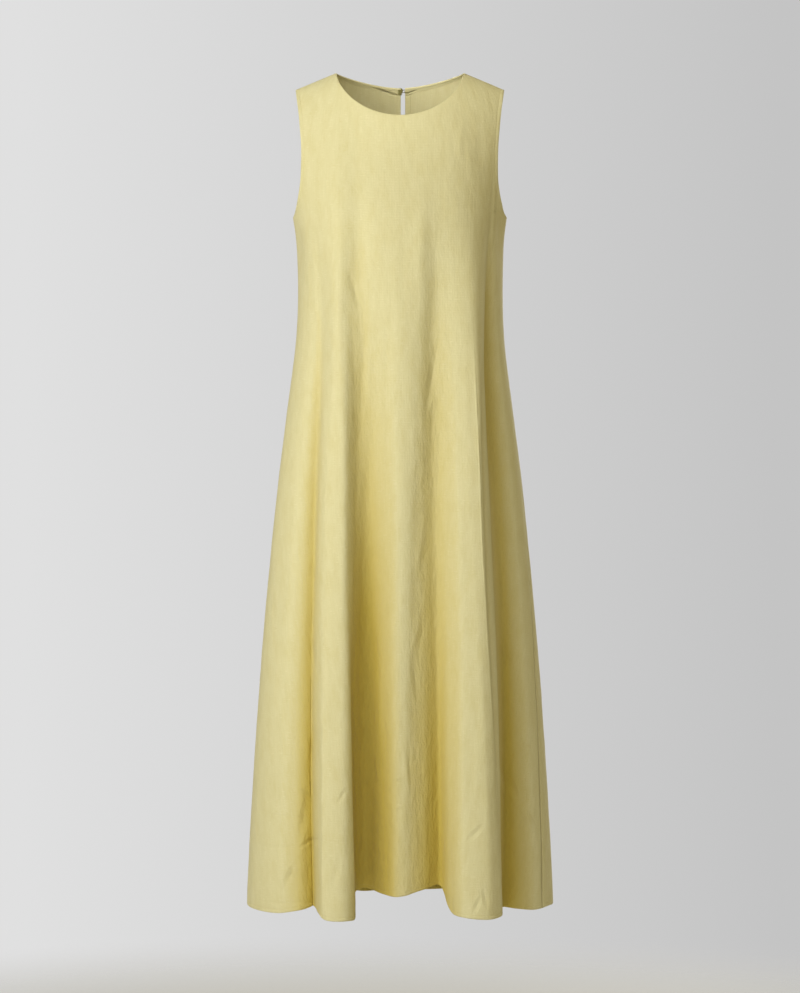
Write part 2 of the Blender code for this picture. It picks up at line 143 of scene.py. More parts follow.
# name, angle, height, reach in degrees, reach in height, depth
HOLLOWS = (
    ("left underarm", 74.0, -0.25, 11.0, 0.06, 0.0055),
    ("right underarm", -76.0, -0.27, 10.0, 0.06, 0.003),
    ("left side valley", 59.5, -0.43, 6.5, 0.23, 0.0115),
    ("left fold ridge", 42.0, -0.43, 9.0, 0.22, -0.0065),
    ("left valley", 20.5, -0.42, 7.0, 0.2, 0.0035),
    ("right valley", -22.0, -0.43, 5.5, 0.23, 0.0065),
    ("right fold ridge", -36.0, -0.43, 8.0, 0.22, -0.003),
    ("right bulge valley", -52.5, -0.68, 6.0, 0.26, 0.004),
)


class Crease(Enum):
    """How a crease bends the cloth across its line."""

    SOFT = "a rounded trough or ridge"
    SHARP = "a trough or ridge with a pressed line"
    STEP = "a shallow step, raised on one side and sunk on the other"

    def across(self, far: Array) -> Array:
        """Height of a crease across its line.

        Args:
            far: Distance from the line, where 1 is half the crease's width.

        Returns:
            Height at each distance.
        """
        if self is Crease.SOFT:
            return np.exp(-(far**2))
        if self is Crease.SHARP:
            return np.exp(-1.4 * (np.sqrt(far**2 + 0.04) - 0.2))
        return 2.2 * far * np.exp(-(far**2))


SOFT, SHARP, STEP = Crease
CreaseRow = tuple[Crease, float, float, float, float, float, float]

# kind, x, height, lean to the left in degrees, half length, half width, depth in mm
FRONT_CREASES = (
    (SHARP, 0.1835, -0.62, -4.2, 0.09, 0.0016, 1.6),
    (SHARP, 0.1945, -0.75, -3.6, 0.12, 0.0016, 2.2),
    (SHARP, 0.203, -0.9, -2.7, 0.12, 0.0016, 2.4),
    (SHARP, 0.2089, -1.06, -1.6, 0.12, 0.0016, 2.4),
    (SHARP, 0.2119, -1.2, -0.5, 0.1, 0.0016, 2.4),
    (SHARP, -0.0712, -0.93, -1, 0.14, 0.0016, -0.6),
    (SHARP, -0.068, -1.13, -1, 0.14, 0.0016, -0.6),
    (SHARP, -0.1136, -1.01, 0, 0.13, 0.002, -0.6),
    (SHARP, -0.1136, -1.16, 0, 0.11, 0.002, -0.7),
    (SHARP, 0.1125, -0.514, -2.8, 0.1, 0.0016, -0.5),
    (SHARP, 0.118, -0.65, -2.0, 0.1, 0.0016, -0.6),
    (SHARP, 0.1256, -0.8, -3.3, 0.12, 0.0016, -0.6),
    (SHARP, 0.1357, -0.97, -3.6, 0.12, 0.0016, -0.6),
    (SHARP, 0.1437, -1.15, -1.7, 0.12, 0.0016, -0.6),
    (SHARP, -0.142, -1.115, 12, 0.034, 0.0055, 1.9),
    (SHARP, -0.16, -1.196, 28, 0.028, 0.005, 1.6),
    (SOFT, -0.176, -1.185, 20, 0.03, 0.008, -1.2),
    (SHARP, -0.166, -1.156, 86, 0.055, 0.0025, 0.3),
    (SHARP, -0.16, -1.238, 88, 0.04, 0.0025, 0.4),
    (SHARP, -0.172, -1.111, 93, 0.05, 0.0025, 0.3),
    (SHARP, -0.139, -1.079, -50, 0.014, 0.0035, 1.1),
    (SHARP, -0.134, -1.148, 62, 0.016, 0.0035, 1.2), (SOFT, -0.19, -1.09, 8, 0.06, 0.009, 1.1),
    (SOFT, -0.15, -0.96, 3, 0.09, 0.008, 1.4), (SOFT, -0.165, -0.8, 6, 0.08, 0.009, -0.9),
    (SHARP, -0.128, -0.87, -14, 0.03, 0.0045, 1.1), (STEP, -0.133, -1.01, 9, 0.05, 0.006, 1.0),
    (SHARP, -0.084, -1.075, 30, 0.012, 0.003, 0.9),
    (SHARP, -0.092, -1.185, 12, 0.024, 0.0045, 0.9),
    (SOFT, -0.095, -0.99, -4, 0.06, 0.006, 0.7),
    (SHARP, -0.003, -1.052, 72, 0.009, 0.003, -0.6),
    (SHARP, -0.002, -1.094, 60, 0.008, 0.003, -0.6),
    (STEP, 0.013, -1.038, -8, 0.034, 0.005, 1.5), (SOFT, 0.004, -1.11, 3, 0.06, 0.007, -1.0),
    (SOFT, -0.03, -0.94, 2, 0.11, 0.009, -1.1), (STEP, 0.03, -0.84, 10, 0.04, 0.006, 1.3),
    (STEP, 0.034, -0.72, 8, 0.05, 0.006, 1.1), (SHARP, 0.022, -0.905, -6, 0.03, 0.0045, 1.1),
    (SHARP, 0.047, -0.465, 10, 0.055, 0.005, 1.4), (SOFT, 0.01, -0.56, -3, 0.09, 0.009, 0.8),
    (SOFT, -0.018, -0.43, 2, 0.08, 0.008, 0.7), (SHARP, -0.066, -0.34, -17, 0.032, 0.0045, 1.3),
    (SOFT, -0.053, -0.325, 4, 0.055, 0.006, -1.1), (SOFT, -0.08, -0.365, 4, 0.05, 0.006, 0.9),
    (SOFT, -0.028, -0.285, 1, 0.06, 0.007, -0.7), (SOFT, 0.004, -0.3, 2, 0.07, 0.007, 0.8),
    (SOFT, 0.03, -0.27, 6, 0.06, 0.007, -0.6), (SOFT, 0.088, -0.115, 4, 0.038, 0.006, -0.8),
    (SOFT, 0.102, -0.15, -3, 0.04, 0.006, -0.7), (SOFT, 0.118, -0.125, 2, 0.045, 0.007, 1.0),
    (SOFT, -0.124, -0.07, 6, 0.036, 0.007, 0.9), (SOFT, -0.108, -0.105, -4, 0.04, 0.006, 0.7),
    (SOFT, -0.04, -0.15, 3, 0.05, 0.008, 0.4), (SOFT, 0.02, -0.14, 0, 0.04, 0.006, 0.4),
    (SHARP, 0.1405, -0.205, 3, 0.06, 0.003, -1.3), (SOFT, 0.148, -0.215, 2, 0.06, 0.004, 1.5),
    (SHARP, 0.168, -1.075, -16, 0.016, 0.0045, 1.9),
    (SHARP, 0.19, -1.118, -31, 0.02, 0.0045, -1.5),
    (STEP, 0.154, -1.06, -12, 0.034, 0.005, 1.2), (SOFT, 0.185, -1.0, -6, 0.07, 0.009, -1.1),
    (SHARP, 0.155, -0.87, -20, 0.034, 0.0045, 1.3), (SOFT, 0.176, -1.18, -8, 0.04, 0.008, 1.1),
    (SHARP, 0.109, -1.129, 45, 0.016, 0.004, 1.1), (SOFT, 0.113, -1.03, 3, 0.05, 0.005, -0.9),
    (SHARP, 0.112, -1.232, 22, 0.013, 0.0035, 1.0),
    (SHARP, 0.124, -1.222, -12, 0.014, 0.0035, 0.9), (SOFT, 0.086, -0.93, 2, 0.09, 0.008, 0.7),
    (SOFT, 0.098, -0.64, 4, 0.08, 0.008, -0.6), (SOFT, 0.072, -0.78, -3, 0.07, 0.008, 0.7),
)

BACK_CREASES = (
    (SOFT, -0.06, -0.33, 5, 0.07, 0.008, 1.1), (SHARP, 0.045, -0.38, -9, 0.05, 0.005, 1.2),
    (SOFT, 0.015, -0.48, 3, 0.09, 0.009, -0.9), (SOFT, -0.03, -0.25, -6, 0.045, 0.008, 0.9),
    (SOFT, 0.03, -0.2, 8, 0.05, 0.008, 0.8), (SHARP, -0.1, -0.56, 7, 0.05, 0.005, 1.1),
    (STEP, 0.09, -0.69, -7, 0.06, 0.006, 1.2), (SOFT, -0.02, -0.76, 2, 0.11, 0.009, 1.0),
    (SHARP, 0.062, -0.88, 12, 0.034, 0.005, 1.3), (STEP, -0.056, -0.96, 6, 0.05, 0.006, 1.3),
    (SHARP, -0.14, -1.06, -14, 0.03, 0.005, 1.6), (SHARP, 0.15, -1.11, 18, 0.032, 0.005, 1.6),
    (SHARP, 0.168, -1.18, 84, 0.04, 0.0025, 0.7), (SHARP, -0.17, -1.2, 92, 0.046, 0.0025, 0.7),
    (SOFT, 0.01, -1.12, -4, 0.06, 0.008, -1.1), (SHARP, -0.012, -1.01, 66, 0.01, 0.003, -1.2),
    (SHARP, 0.1, -1.2, -25, 0.016, 0.004, 1.1), (SHARP, -0.104, -1.19, 20, 0.018, 0.004, 1.0),
    (SOFT, 0.18, -0.9, 5, 0.08, 0.009, 1.0), (SOFT, -0.18, -0.86, -5, 0.08, 0.009, -0.9),
    (SOFT, 0.11, -0.15, -5, 0.04, 0.007, 0.8), (SOFT, -0.112, -0.13, 5, 0.04, 0.007, 0.8),
)

FACING_CREASES = (
    (SHARP, -0.023, -0.0205, 103, 0.018, 0.0014, 1.8),
    (SHARP, -0.012, -0.025, 98, 0.011, 0.0012, 1.4),
    (SHARP, 0.0165, -0.0215, 75, 0.01, 0.0013, 1.8),
    (SHARP, 0.012, -0.026, 84, 0.006, 0.0012, 1.2),
)

# name and kind of a fold's line, then height, x, half width and depth in mm down it
FRONT_LINES = (
    ("edge of the left fold", SHARP, (
        (-0.26, 0.1, 0.02, 0.0), (-0.34, 0.103, 0.018, -2.8), (-0.45, 0.107, 0.015, -4.0),
        (-0.6, 0.114, 0.014, -4.0), (-0.7, 0.118, 0.014, -3.6), (-0.82, 0.125, 0.015, -2.8),
        (-0.9, 0.13, 0.015, -2.6), (-1.06, 0.138, 0.014, -2.6), (-1.25, 0.144, 0.012, -1.6),
    )),
    ("hollow behind the left fold", SOFT, (
        (-0.26, 0.12, 0.013, 0.0), (-0.34, 0.122, 0.013, 1.0), (-0.48, 0.1275, 0.014, 3.8),
        (-0.7, 0.139, 0.014, 4.0), (-0.9, 0.149, 0.014, 2.6), (-1.08, 0.154, 0.014, 0.4),
        (-1.25, 0.158, 0.014, -1.4),
    )),
    ("edge of the right fold", SHARP, (
        (-0.2, -0.086, 0.014, 0.0), (-0.29, -0.088, 0.013, -2.6), (-0.41, -0.088, 0.013, -3.6),
        (-0.5, -0.085, 0.014, -3.0), (-0.62, -0.081, 0.015, -2.4), (-0.76, -0.08, 0.014, -2.4),
        (-0.95, -0.079, 0.013, -2.6), (-1.1, -0.076, 0.012, -2.2), (-1.25, -0.07, 0.01, -1.0),
    )),
    ("hollow between the right fold and the middle", SOFT, (
        (-0.2, -0.066, 0.012, 0.0), (-0.24, -0.066, 0.012, 1.0), (-0.3, -0.067, 0.013, 4.0),
        (-0.41, -0.068, 0.015, 3.8), (-0.5, -0.062, 0.016, 3.8), (-0.7, -0.054, 0.018, 5.2),
        (-0.9, -0.048, 0.019, 5.6), (-1.1, -0.047, 0.018, 4.4), (-1.25, -0.049, 0.016, 1.4),
    )),
    ("hollow between the middle and the left fold", SOFT, (
        (-0.18, 0.03, 0.012, 0.0), (-0.24, 0.03, 0.012, -1.6), (-0.34, 0.034, 0.014, -2.8),
        (-0.45, 0.036, 0.014, -0.4), (-0.57, 0.034, 0.016, 1.0), (-0.7, 0.028, 0.019, 3.6),
        (-0.95, 0.024, 0.021, 6.4), (-1.15, 0.022, 0.022, 7.2), (-1.25, 0.021, 0.021, 6.6),
    )),
    ("outer edge of the right fold", STEP, (
        (-0.82, -0.114, 0.0085, 0.0), (-0.92, -0.115, 0.008, -0.7),
        (-1.05, -0.116, 0.0075, -1.1), (-1.25, -0.1165, 0.0075, -1.0),
    )),
    ("flank outside the right fold", SOFT, (
        (-0.7, -0.146, 0.016, 0.0), (-0.9, -0.152, 0.018, 1.2), (-1.1, -0.157, 0.02, 2.4),
        (-1.25, -0.158, 0.021, 3.0),
    )),
    ("hollow outside the right fold", SOFT, (
        (-0.45, -0.112, 0.014, 0.0), (-0.55, -0.118, 0.015, -1.4), (-0.65, -0.123, 0.016, -2.6),
        (-0.85, -0.132, 0.018, -4.2), (-1.05, -0.136, 0.019, -5.4), (-1.25, -0.137, 0.02, -6.4),
    )),
    ("flat of the middle", SOFT, (
        (-0.93, -0.008, 0.026, 0.0), (-1.05, -0.008, 0.026, 2.0), (-1.16, -0.006, 0.026, 3.0),
        (-1.25, -0.006, 0.026, 3.0),
    )),
    ("inner side of the left fold", SOFT, (
        (-0.56, 0.068, 0.018, 0.0), (-0.72, 0.07, 0.018, -2.4), (-0.95, 0.074, 0.019, -4.0),
        (-1.15, 0.076, 0.019, -3.6), (-1.25, 0.078, 0.018, -1.6),
    )),
    ("drop beside the left fold", STEP, (
        (-0.4, 0.109, 0.0065, 0.0), (-0.47, 0.112, 0.0055, 2.0), (-0.587, 0.1158, 0.005, 3.4),
        (-0.761, 0.1228, 0.005, 3.2), (-0.935, 0.133, 0.0052, 2.5),
        (-1.153, 0.1428, 0.0055, 1.5), (-1.25, 0.1478, 0.0055, 0.8),
    )),
    ("turn of the left fold", STEP, (
        (-0.48, 0.104, 0.008, 0.0), (-0.65, 0.111, 0.008, 0.8), (-0.85, 0.121, 0.008, 1.3),
        (-1.06, 0.131, 0.008, 1.6), (-1.25, 0.139, 0.008, 1.0),
    )),
    ("drop beside the right fold", STEP, (
        (-0.78, -0.074, 0.0055, 0.0), (-0.86, -0.073, 0.0052, 1.4),
        (-0.935, -0.0722, 0.005, 2.2), (-1.153, -0.0676, 0.005, 2.6),
        (-1.25, -0.065, 0.005, 2.2),
    )),
    ("fall from the left bust", SOFT, (
        (-0.06, 0.082, 0.044, 0.0), (-0.14, 0.084, 0.044, -5.4), (-0.23, 0.089, 0.043, -9.4),
        (-0.34, 0.098, 0.038, -10.0), (-0.44, 0.102, 0.033, -7.6), (-0.56, 0.104, 0.03, -5.6),
        (-0.72, 0.109, 0.028, -4.2), (-0.9, 0.116, 0.026, -2.6), (-1.08, 0.124, 0.024, 0.0),
    )),
    ("fall from the right bust", SOFT, (
        (-0.06, -0.092, 0.026, 0.0), (-0.14, -0.094, 0.028, -3.4), (-0.22, -0.096, 0.026, -4.2),
        (-0.34, -0.1, 0.022, -2.0), (-0.52, -0.104, 0.022, 0.0),
    )),
)

BACK_LINES = (
    ("fall from the left shoulder blade", SOFT, (
        (-0.08, 0.085, 0.03, 0.0), (-0.2, 0.088, 0.03, -3.0), (-0.42, 0.096, 0.026, -2.4),
        (-0.7, 0.104, 0.022, -1.0), (-0.9, 0.108, 0.02, 0.0),
    )),
    ("fall from the right shoulder blade", SOFT, (
        (-0.08, -0.085, 0.03, 0.0), (-0.21, -0.086, 0.03, -3.0), (-0.45, -0.09, 0.026, -2.6),
        (-0.75, -0.096, 0.022, -1.0), (-0.9, -0.1, 0.02, 0.0),
    )),
    ("edge of the left back fold", SHARP, (
        (-0.55, 0.082, 0.016, 0.0), (-0.8, 0.086, 0.015, -2.2), (-1.05, 0.09, 0.013, -2.6),
        (-1.25, 0.092, 0.011, -1.0),
    )),
    ("hollow beside the left back fold", SOFT, (
        (-0.4, 0.055, 0.018, 0.6), (-0.7, 0.06, 0.018, 3.0), (-1.0, 0.064, 0.017, 3.4),
        (-1.25, 0.066, 0.015, 0.8),
    )),
    ("edge of the right back fold", SHARP, (
        (-0.48, -0.072, 0.017, 0.0), (-0.76, -0.074, 0.015, -2.4), (-1.0, -0.076, 0.013, -2.6),
        (-1.25, -0.078, 0.011, -1.0),
    )),
    ("hollow beside the right back fold", SOFT, (
        (-0.36, -0.046, 0.017, 0.8), (-0.64, -0.048, 0.018, 2.8), (-0.95, -0.052, 0.017, 3.2),
        (-1.25, -0.054, 0.015, 0.8),
    )),
    ("hollow outside the right back fold", SOFT, (
        (-0.6, -0.128, 0.016, 0.0), (-0.9, -0.138, 0.016, 2.4), (-1.25, -0.146, 0.015, 0.8),
    )),
)


def linear(code: str) -> tuple[float, float, float, float]:
    """Turn an sRGB hex colour into a linear one.

    Args:
        code: Six hex digits after a hash.

    Returns:
        Red, green, blue and an alpha of 1.
    """
    digits = code.lstrip("#")
    shares = [int(digits[i : i + 2], 16) / 255 for i in (0, 2, 4)]
    turned = [s / 12.92 if s <= 0.04045 else ((s + 0.055) / 1.055) ** 2.4 for s in shares]
    return (turned[0], turned[1], turned[2], 1.0)


def add_node(
    tree: Tree,
    kind: str,
    inputs: dict[int | str, object] | None = None,
    output: int | str = 0,
    **settings: object,
) -> Socket | None:
    """Add one shader node with its settings, values and links.

    Args:
        tree: Node tree that takes the node.
        kind: Blender's name of the node's type, without "ShaderNode".
        inputs: Values of its sockets, or the sockets linked to them.
        output: Which of its outputs is wanted.
        settings: Attributes of the node.

    Returns:
        The wanted output, or None where the node has no output.
    """
    node = tree.nodes.new(f"ShaderNode{kind}")
    for name, value in settings.items():
        setattr(node, name, value)
    for key, value in (inputs or {}).items():
        if isinstance(value, Socket):
            tree.links.new(value, node.inputs[key])
        else:
            node.inputs[key].default_value = value
    return node.outputs[output] if len(node.outputs) else None


def calc(tree: Tree, operation: str, *values: Socket | float) -> Socket:
    """Work out a product of values, or a product and sum."""
    return add_node(tree, "Math", dict(enumerate(values)), operation=operation)


def mix(tree: Tree, share: Socket, near: Socket | str, far: Socket | str) -> Socket:
    """Blend two colours, each a socket or a hex code; share is the second one's."""
    ends = [linear(end) if isinstance(end, str) else end for end in (near, far)]
    return add_node(tree, "MixRGB", {0: share, 1: ends[0], 2: ends[1]})


def bump(
    tree: Tree, height: Socket, strength: float, distance: float, under: Socket | None = None
) -> Socket:
    """Raise a relief in a material.

    Args:
        tree: Node tree that takes the node.
        height: Height of the relief.
        strength: Share of the relief that shows.
        distance: Size of a height of 1, in metres.
        under: Relief on which this one lies.

    Returns:
        Socket with the direction of the surface.
    """
    inputs = {"Height": height, "Strength": strength, "Distance": distance}
    if under is not None:
        inputs["Normal"] = under
    return add_node(tree, "Bump", inputs)


def ramp(tree: Tree, factor: Socket, *stops: tuple[float, float]) -> Socket:
    """Remap a factor to grey levels.

    Args:
        tree: Node tree that takes the ramp.
        factor: Socket with the factor.
        stops: Position and level of both stops.

    Returns:
        The ramp's colour socket.
    """
    made = add_node(tree, "ValToRGB", {0: factor})
    for element, (place, level) in zip(made.node.color_ramp.elements, stops):
        element.position = place
        element.color = (level, level, level, 1.0)
    return made


def fresh_material(name: str) -> tuple[Finish, Tree]:
    """Make a material with an empty node tree.

    Args:
        name: Name of the material.

    Returns:
        The material and its node tree.
    """
    material = bpy.data.materials.new(name)
    material.use_nodes = True
    material.node_tree.nodes.clear()
    return material, material.node_tree


def close_material(tree: Tree, values: dict[str, object]) -> None:
    """End a material with a principled shader that has these values."""
    add_node(tree, "OutputMaterial", {0: add_node(tree, "BsdfPrincipled", values)})


@dataclass(frozen=True)
class WovenLinen:
    """Plain woven linen: dull, with thicker threads here and there in warp and weft.

    Flax yarn is spun uneven, so pale and yellow threads lie side by side and slubs
    stand out along them. Its dull threads give only a faint sheen at grazing angles.
    """

    name: str
    creases: tuple[CreaseRow, ...]
    colour: str = "#ded7a6"
    thick_thread: str = "#d2c688"
    pale_thread: str = "#e6deb2"
    pale_slub: str = "#eee6bf"
    # painted shade: deep in a fold the cloth is painted darker and more golden, as the light
    # that has bounced about there comes out warmer
    painted_fold_shade: str = "#c5b053"
    # real threads lie 0.6 mm apart; drawn four times as coarse, or they would not show
    thread_mm: float = 2.4
    # width across the warp and length along it in mm, and octaves of the noise
    slub: Streak = (2.2, 34.0, 3.0)
    dash: Streak = (9.0, 1.5, 1.0)
    blotch: Streak = (14.0, 34.0, 4.0)
    crumple: Streak = (11.0, 30.0, 3.0)
    # share of the relief that shows, and its height in metres
    weave_relief: tuple[float, float] = (0.22, 0.00045)
    slub_relief: tuple[float, float] = (0.22, 0.0004)
    crumple_relief: tuple[float, float] = (0.80, 0.0032)
    # crumples go this much deeper inside a fold, and are this deep outside it
    crumple_growth: tuple[float, float] = (2.4, 0.38)
    # a pressed line's reach and depth against its crease's
    line_reach: tuple[float, float] = (1.5, 1.2)
    line_depth: float = 1.35
    roughness: float = 0.88

    def make(self) -> Finish:
        """Build the material.

        Returns:
            The material, for pieces that have "cloth" places and "fold" depths.
        """
        material, tree = fresh_material(self.name)
        flat = add_node(tree, "UVMap", uv_map="cloth")
        fold = add_node(tree, "Attribute", output=2, attribute_name="fold")
        warp, weft, blotch, crumple = (
            self.streaks(tree, flat, size)
            for size in (self.slub, self.dash, self.blotch, self.crumple)
        )
        share = ramp(tree, warp, (0.38, 0.3), (0.68, 0.7))
        tone = mix(tree, share, self.pale_thread, self.thick_thread)
        for where, colour, low, high in (
            (weft, self.pale_slub, (0.62, 0.0), (0.74, 0.8)),
            (weft, self.thick_thread, (0.26, 0.7), (0.38, 0.0)),
            (warp, self.colour, (0.35, 0.35), (0.65, 0.65)),
            (blotch, self.thick_thread, (0.34, 0.3), (0.56, 0.0)),
            # painted shade in the folds, darker and more golden where the cloth closes in
            (fold, self.painted_fold_shade, (0.1, 0.0), (0.49, 1.0)),
        ):
            tone = mix(tree, ramp(tree, where, low, high), tone, colour)
        surface = bump(tree, self.weave(tree, flat), *self.weave_relief)
        surface = bump(tree, warp, *self.slub_relief, surface)
        deeper = calc(tree, "MULTIPLY_ADD", fold, *self.crumple_growth)
        crumple = calc(tree, "MULTIPLY", crumple, deeper)
        surface = bump(tree, crumple, *self.crumple_relief, surface)
        values = {
            "Base Color": tone,
            "Roughness": self.roughness,
            "IOR": 1.45,
            "Specular IOR Level": 0.25,
            "Sheen Weight": 0.12,
            "Sheen Roughness": 0.5,
            "Normal": bump(tree, self.pressed_lines(tree), 1.0, MM, surface),
        }
        close_material(tree, values)
        return material

    @staticmethod
    def streaks(tree: Tree, flat: Socket, size: Streak) -> Socket:
        """Noise drawn out along the threads.

        Args:
            tree: Node tree that takes the nodes.
            flat: Flat place on the cloth, in metres.
            size: Width and length of a streak in mm, and octaves of the noise.

        Returns:
            Socket with the noise's level.
        """
        width, length, octaves = size
        scale = (1.0 / (width * MM), 1.0 / (length * MM), 1.0)
        place = add_node(tree, "Mapping", {"Vector": flat, "Scale": scale})
        values = {"Vector": place, "Scale": 1.0, "Detail": octaves, "Roughness": 0.6}
        return add_node(tree, "TexNoise", values)

    def pressed_lines(self, tree: Tree) -> Socket:
        """Lines of the sharp creases, each where it lies on the dress.

        Args:
            tree: Node tree that takes the nodes.

        Returns:
            Socket with the height in mm.
        """
        place = add_node(tree, "TexCoord", output="Object")
        across, along = self.line_reach
        height: Socket | float = 0.0
        for kind, x, z, lean, half_length, half_width, depth in self.creases:
            if kind is not SHARP:
                continue
            frame_of_line = {
                "Vector": place,
                "Location": (x, 0.0, z),
                "Rotation": (0.0, math.radians(lean), 0.0),
                # the line goes straight through the dress from front to back
                "Scale": (half_width * across, 1000.0, half_length * along),
            }
            there = add_node(tree, "Mapping", frame_of_line, vector_type="TEXTURE")
            line = add_node(tree, "TexGradient", {0: there}, 1, gradient_type="SPHERICAL")
            height = calc(tree, "MULTIPLY_ADD", line, -self.line_depth * depth, height)
        return height

    def weave(self, tree: Tree, flat: Socket) -> Socket:
        """Warp and weft threads that pass over one another in turn.

        Args:
            tree: Node tree that takes the nodes.
            flat: Flat place on the cloth, in metres.

        Returns:
            Socket with the height of the threads.
        """
        scale = (1.0 / (self.thread_mm * MM),) * 3
        place = add_node(tree, "Mapping", {"Vector": flat, "Scale": scale})
        # a wave of this scale is one thread wide
        values = {"Vector": place, "Scale": 0.31, "Distortion": 1.6, "Detail": 1.0}
        threads = [
            add_node(tree, "TexWave", values, 1, wave_type="BANDS", bands_direction=axis)
            for axis in ("X", "Y")
        ]
        return calc(tree, "MULTIPLY", *threads)


@dataclass(frozen=True)
class DullFinish:
    """Dull finish with a faint mottle, for spun thread, twisted cord and covered button.

    Short fibres or a cloth cover scatter the light, so it has a tone and no shine.
    """

    name: str
    light: str
    dark: str
    roughness: float
    grain_mm: float
    specular: float = 0.3

    def make(self) -> Finish:
        """Build the material.

        Returns:
            The material.
        """
        material, tree = fresh_material(self.name)
        place = add_node(tree, "TexCoord", output="Object")
        size = {"Vector": place, "Scale": 1.0 / (self.grain_mm * MM), "Detail": 3.0}
        grain = add_node(tree, "TexNoise", size)
        values = {
            "Base Color": mix(tree, grain, self.light, self.dark),
            "Roughness": self.roughness,
            "Specular IOR Level": self.specular,
            "Normal": bump(tree, grain, 0.3, 0.0002),
        }
        close_material(tree, values)
        return material


class SmoothCurve:
    """Smooth curve through values at uneven keys, flat beyond both ends."""

    def __init__(self, keys: Sequence[float], values: Sequence[float]) -> None:
        """Keep the keys in rising order, with the curve's slope at each.

        Args:
            keys: Places along the curve, all rising or all falling.
            values: Value at each key.
        """
        self.keys = np.array(keys, float)
        self.values = np.array(values, float)
        if self.keys[0] > self.keys[-1]:
            self.keys, self.values = self.keys[::-1], self.values[::-1]
        low = np.r_[0, np.arange(len(keys) - 1)]
        high = np.r_[np.arange(1, len(keys)), len(keys) - 1]
        run = self.keys[high] - self.keys[low]
        self.slopes = (self.values[high] - self.values[low]) / run

    def at(self, where: Array) -> Array:
        """Values of the curve.

        Args:
            where: Places along its keys.

        Returns:
            Value at each place.
        """
        held = np.clip(where, self.keys[0], self.keys[-1])
        index = np.clip(np.searchsorted(self.keys, held, "right") - 1, 0, len(self.keys) - 2)
        near, far = self.keys[index], self.keys[index + 1]
        span = far - near
        s = (held - near) / span
        return (
            (2 * s**3 - 3 * s**2 + 1) * self.values[index]
            + (s**3 - 2 * s**2 + s) * span * self.slopes[index]
            + (3 * s**2 - 2 * s**3) * self.values[index + 1]
            + (s**3 - s**2) * span * self.slopes[index + 1]
        )


def curves(rows: Sequence[Sequence[float]]) -> list[SmoothCurve]:
    """Curves through the later columns of a table, keyed by its first."""
    keys, *columns = zip(*rows)
    return [SmoothCurve(keys, column) for column in columns]


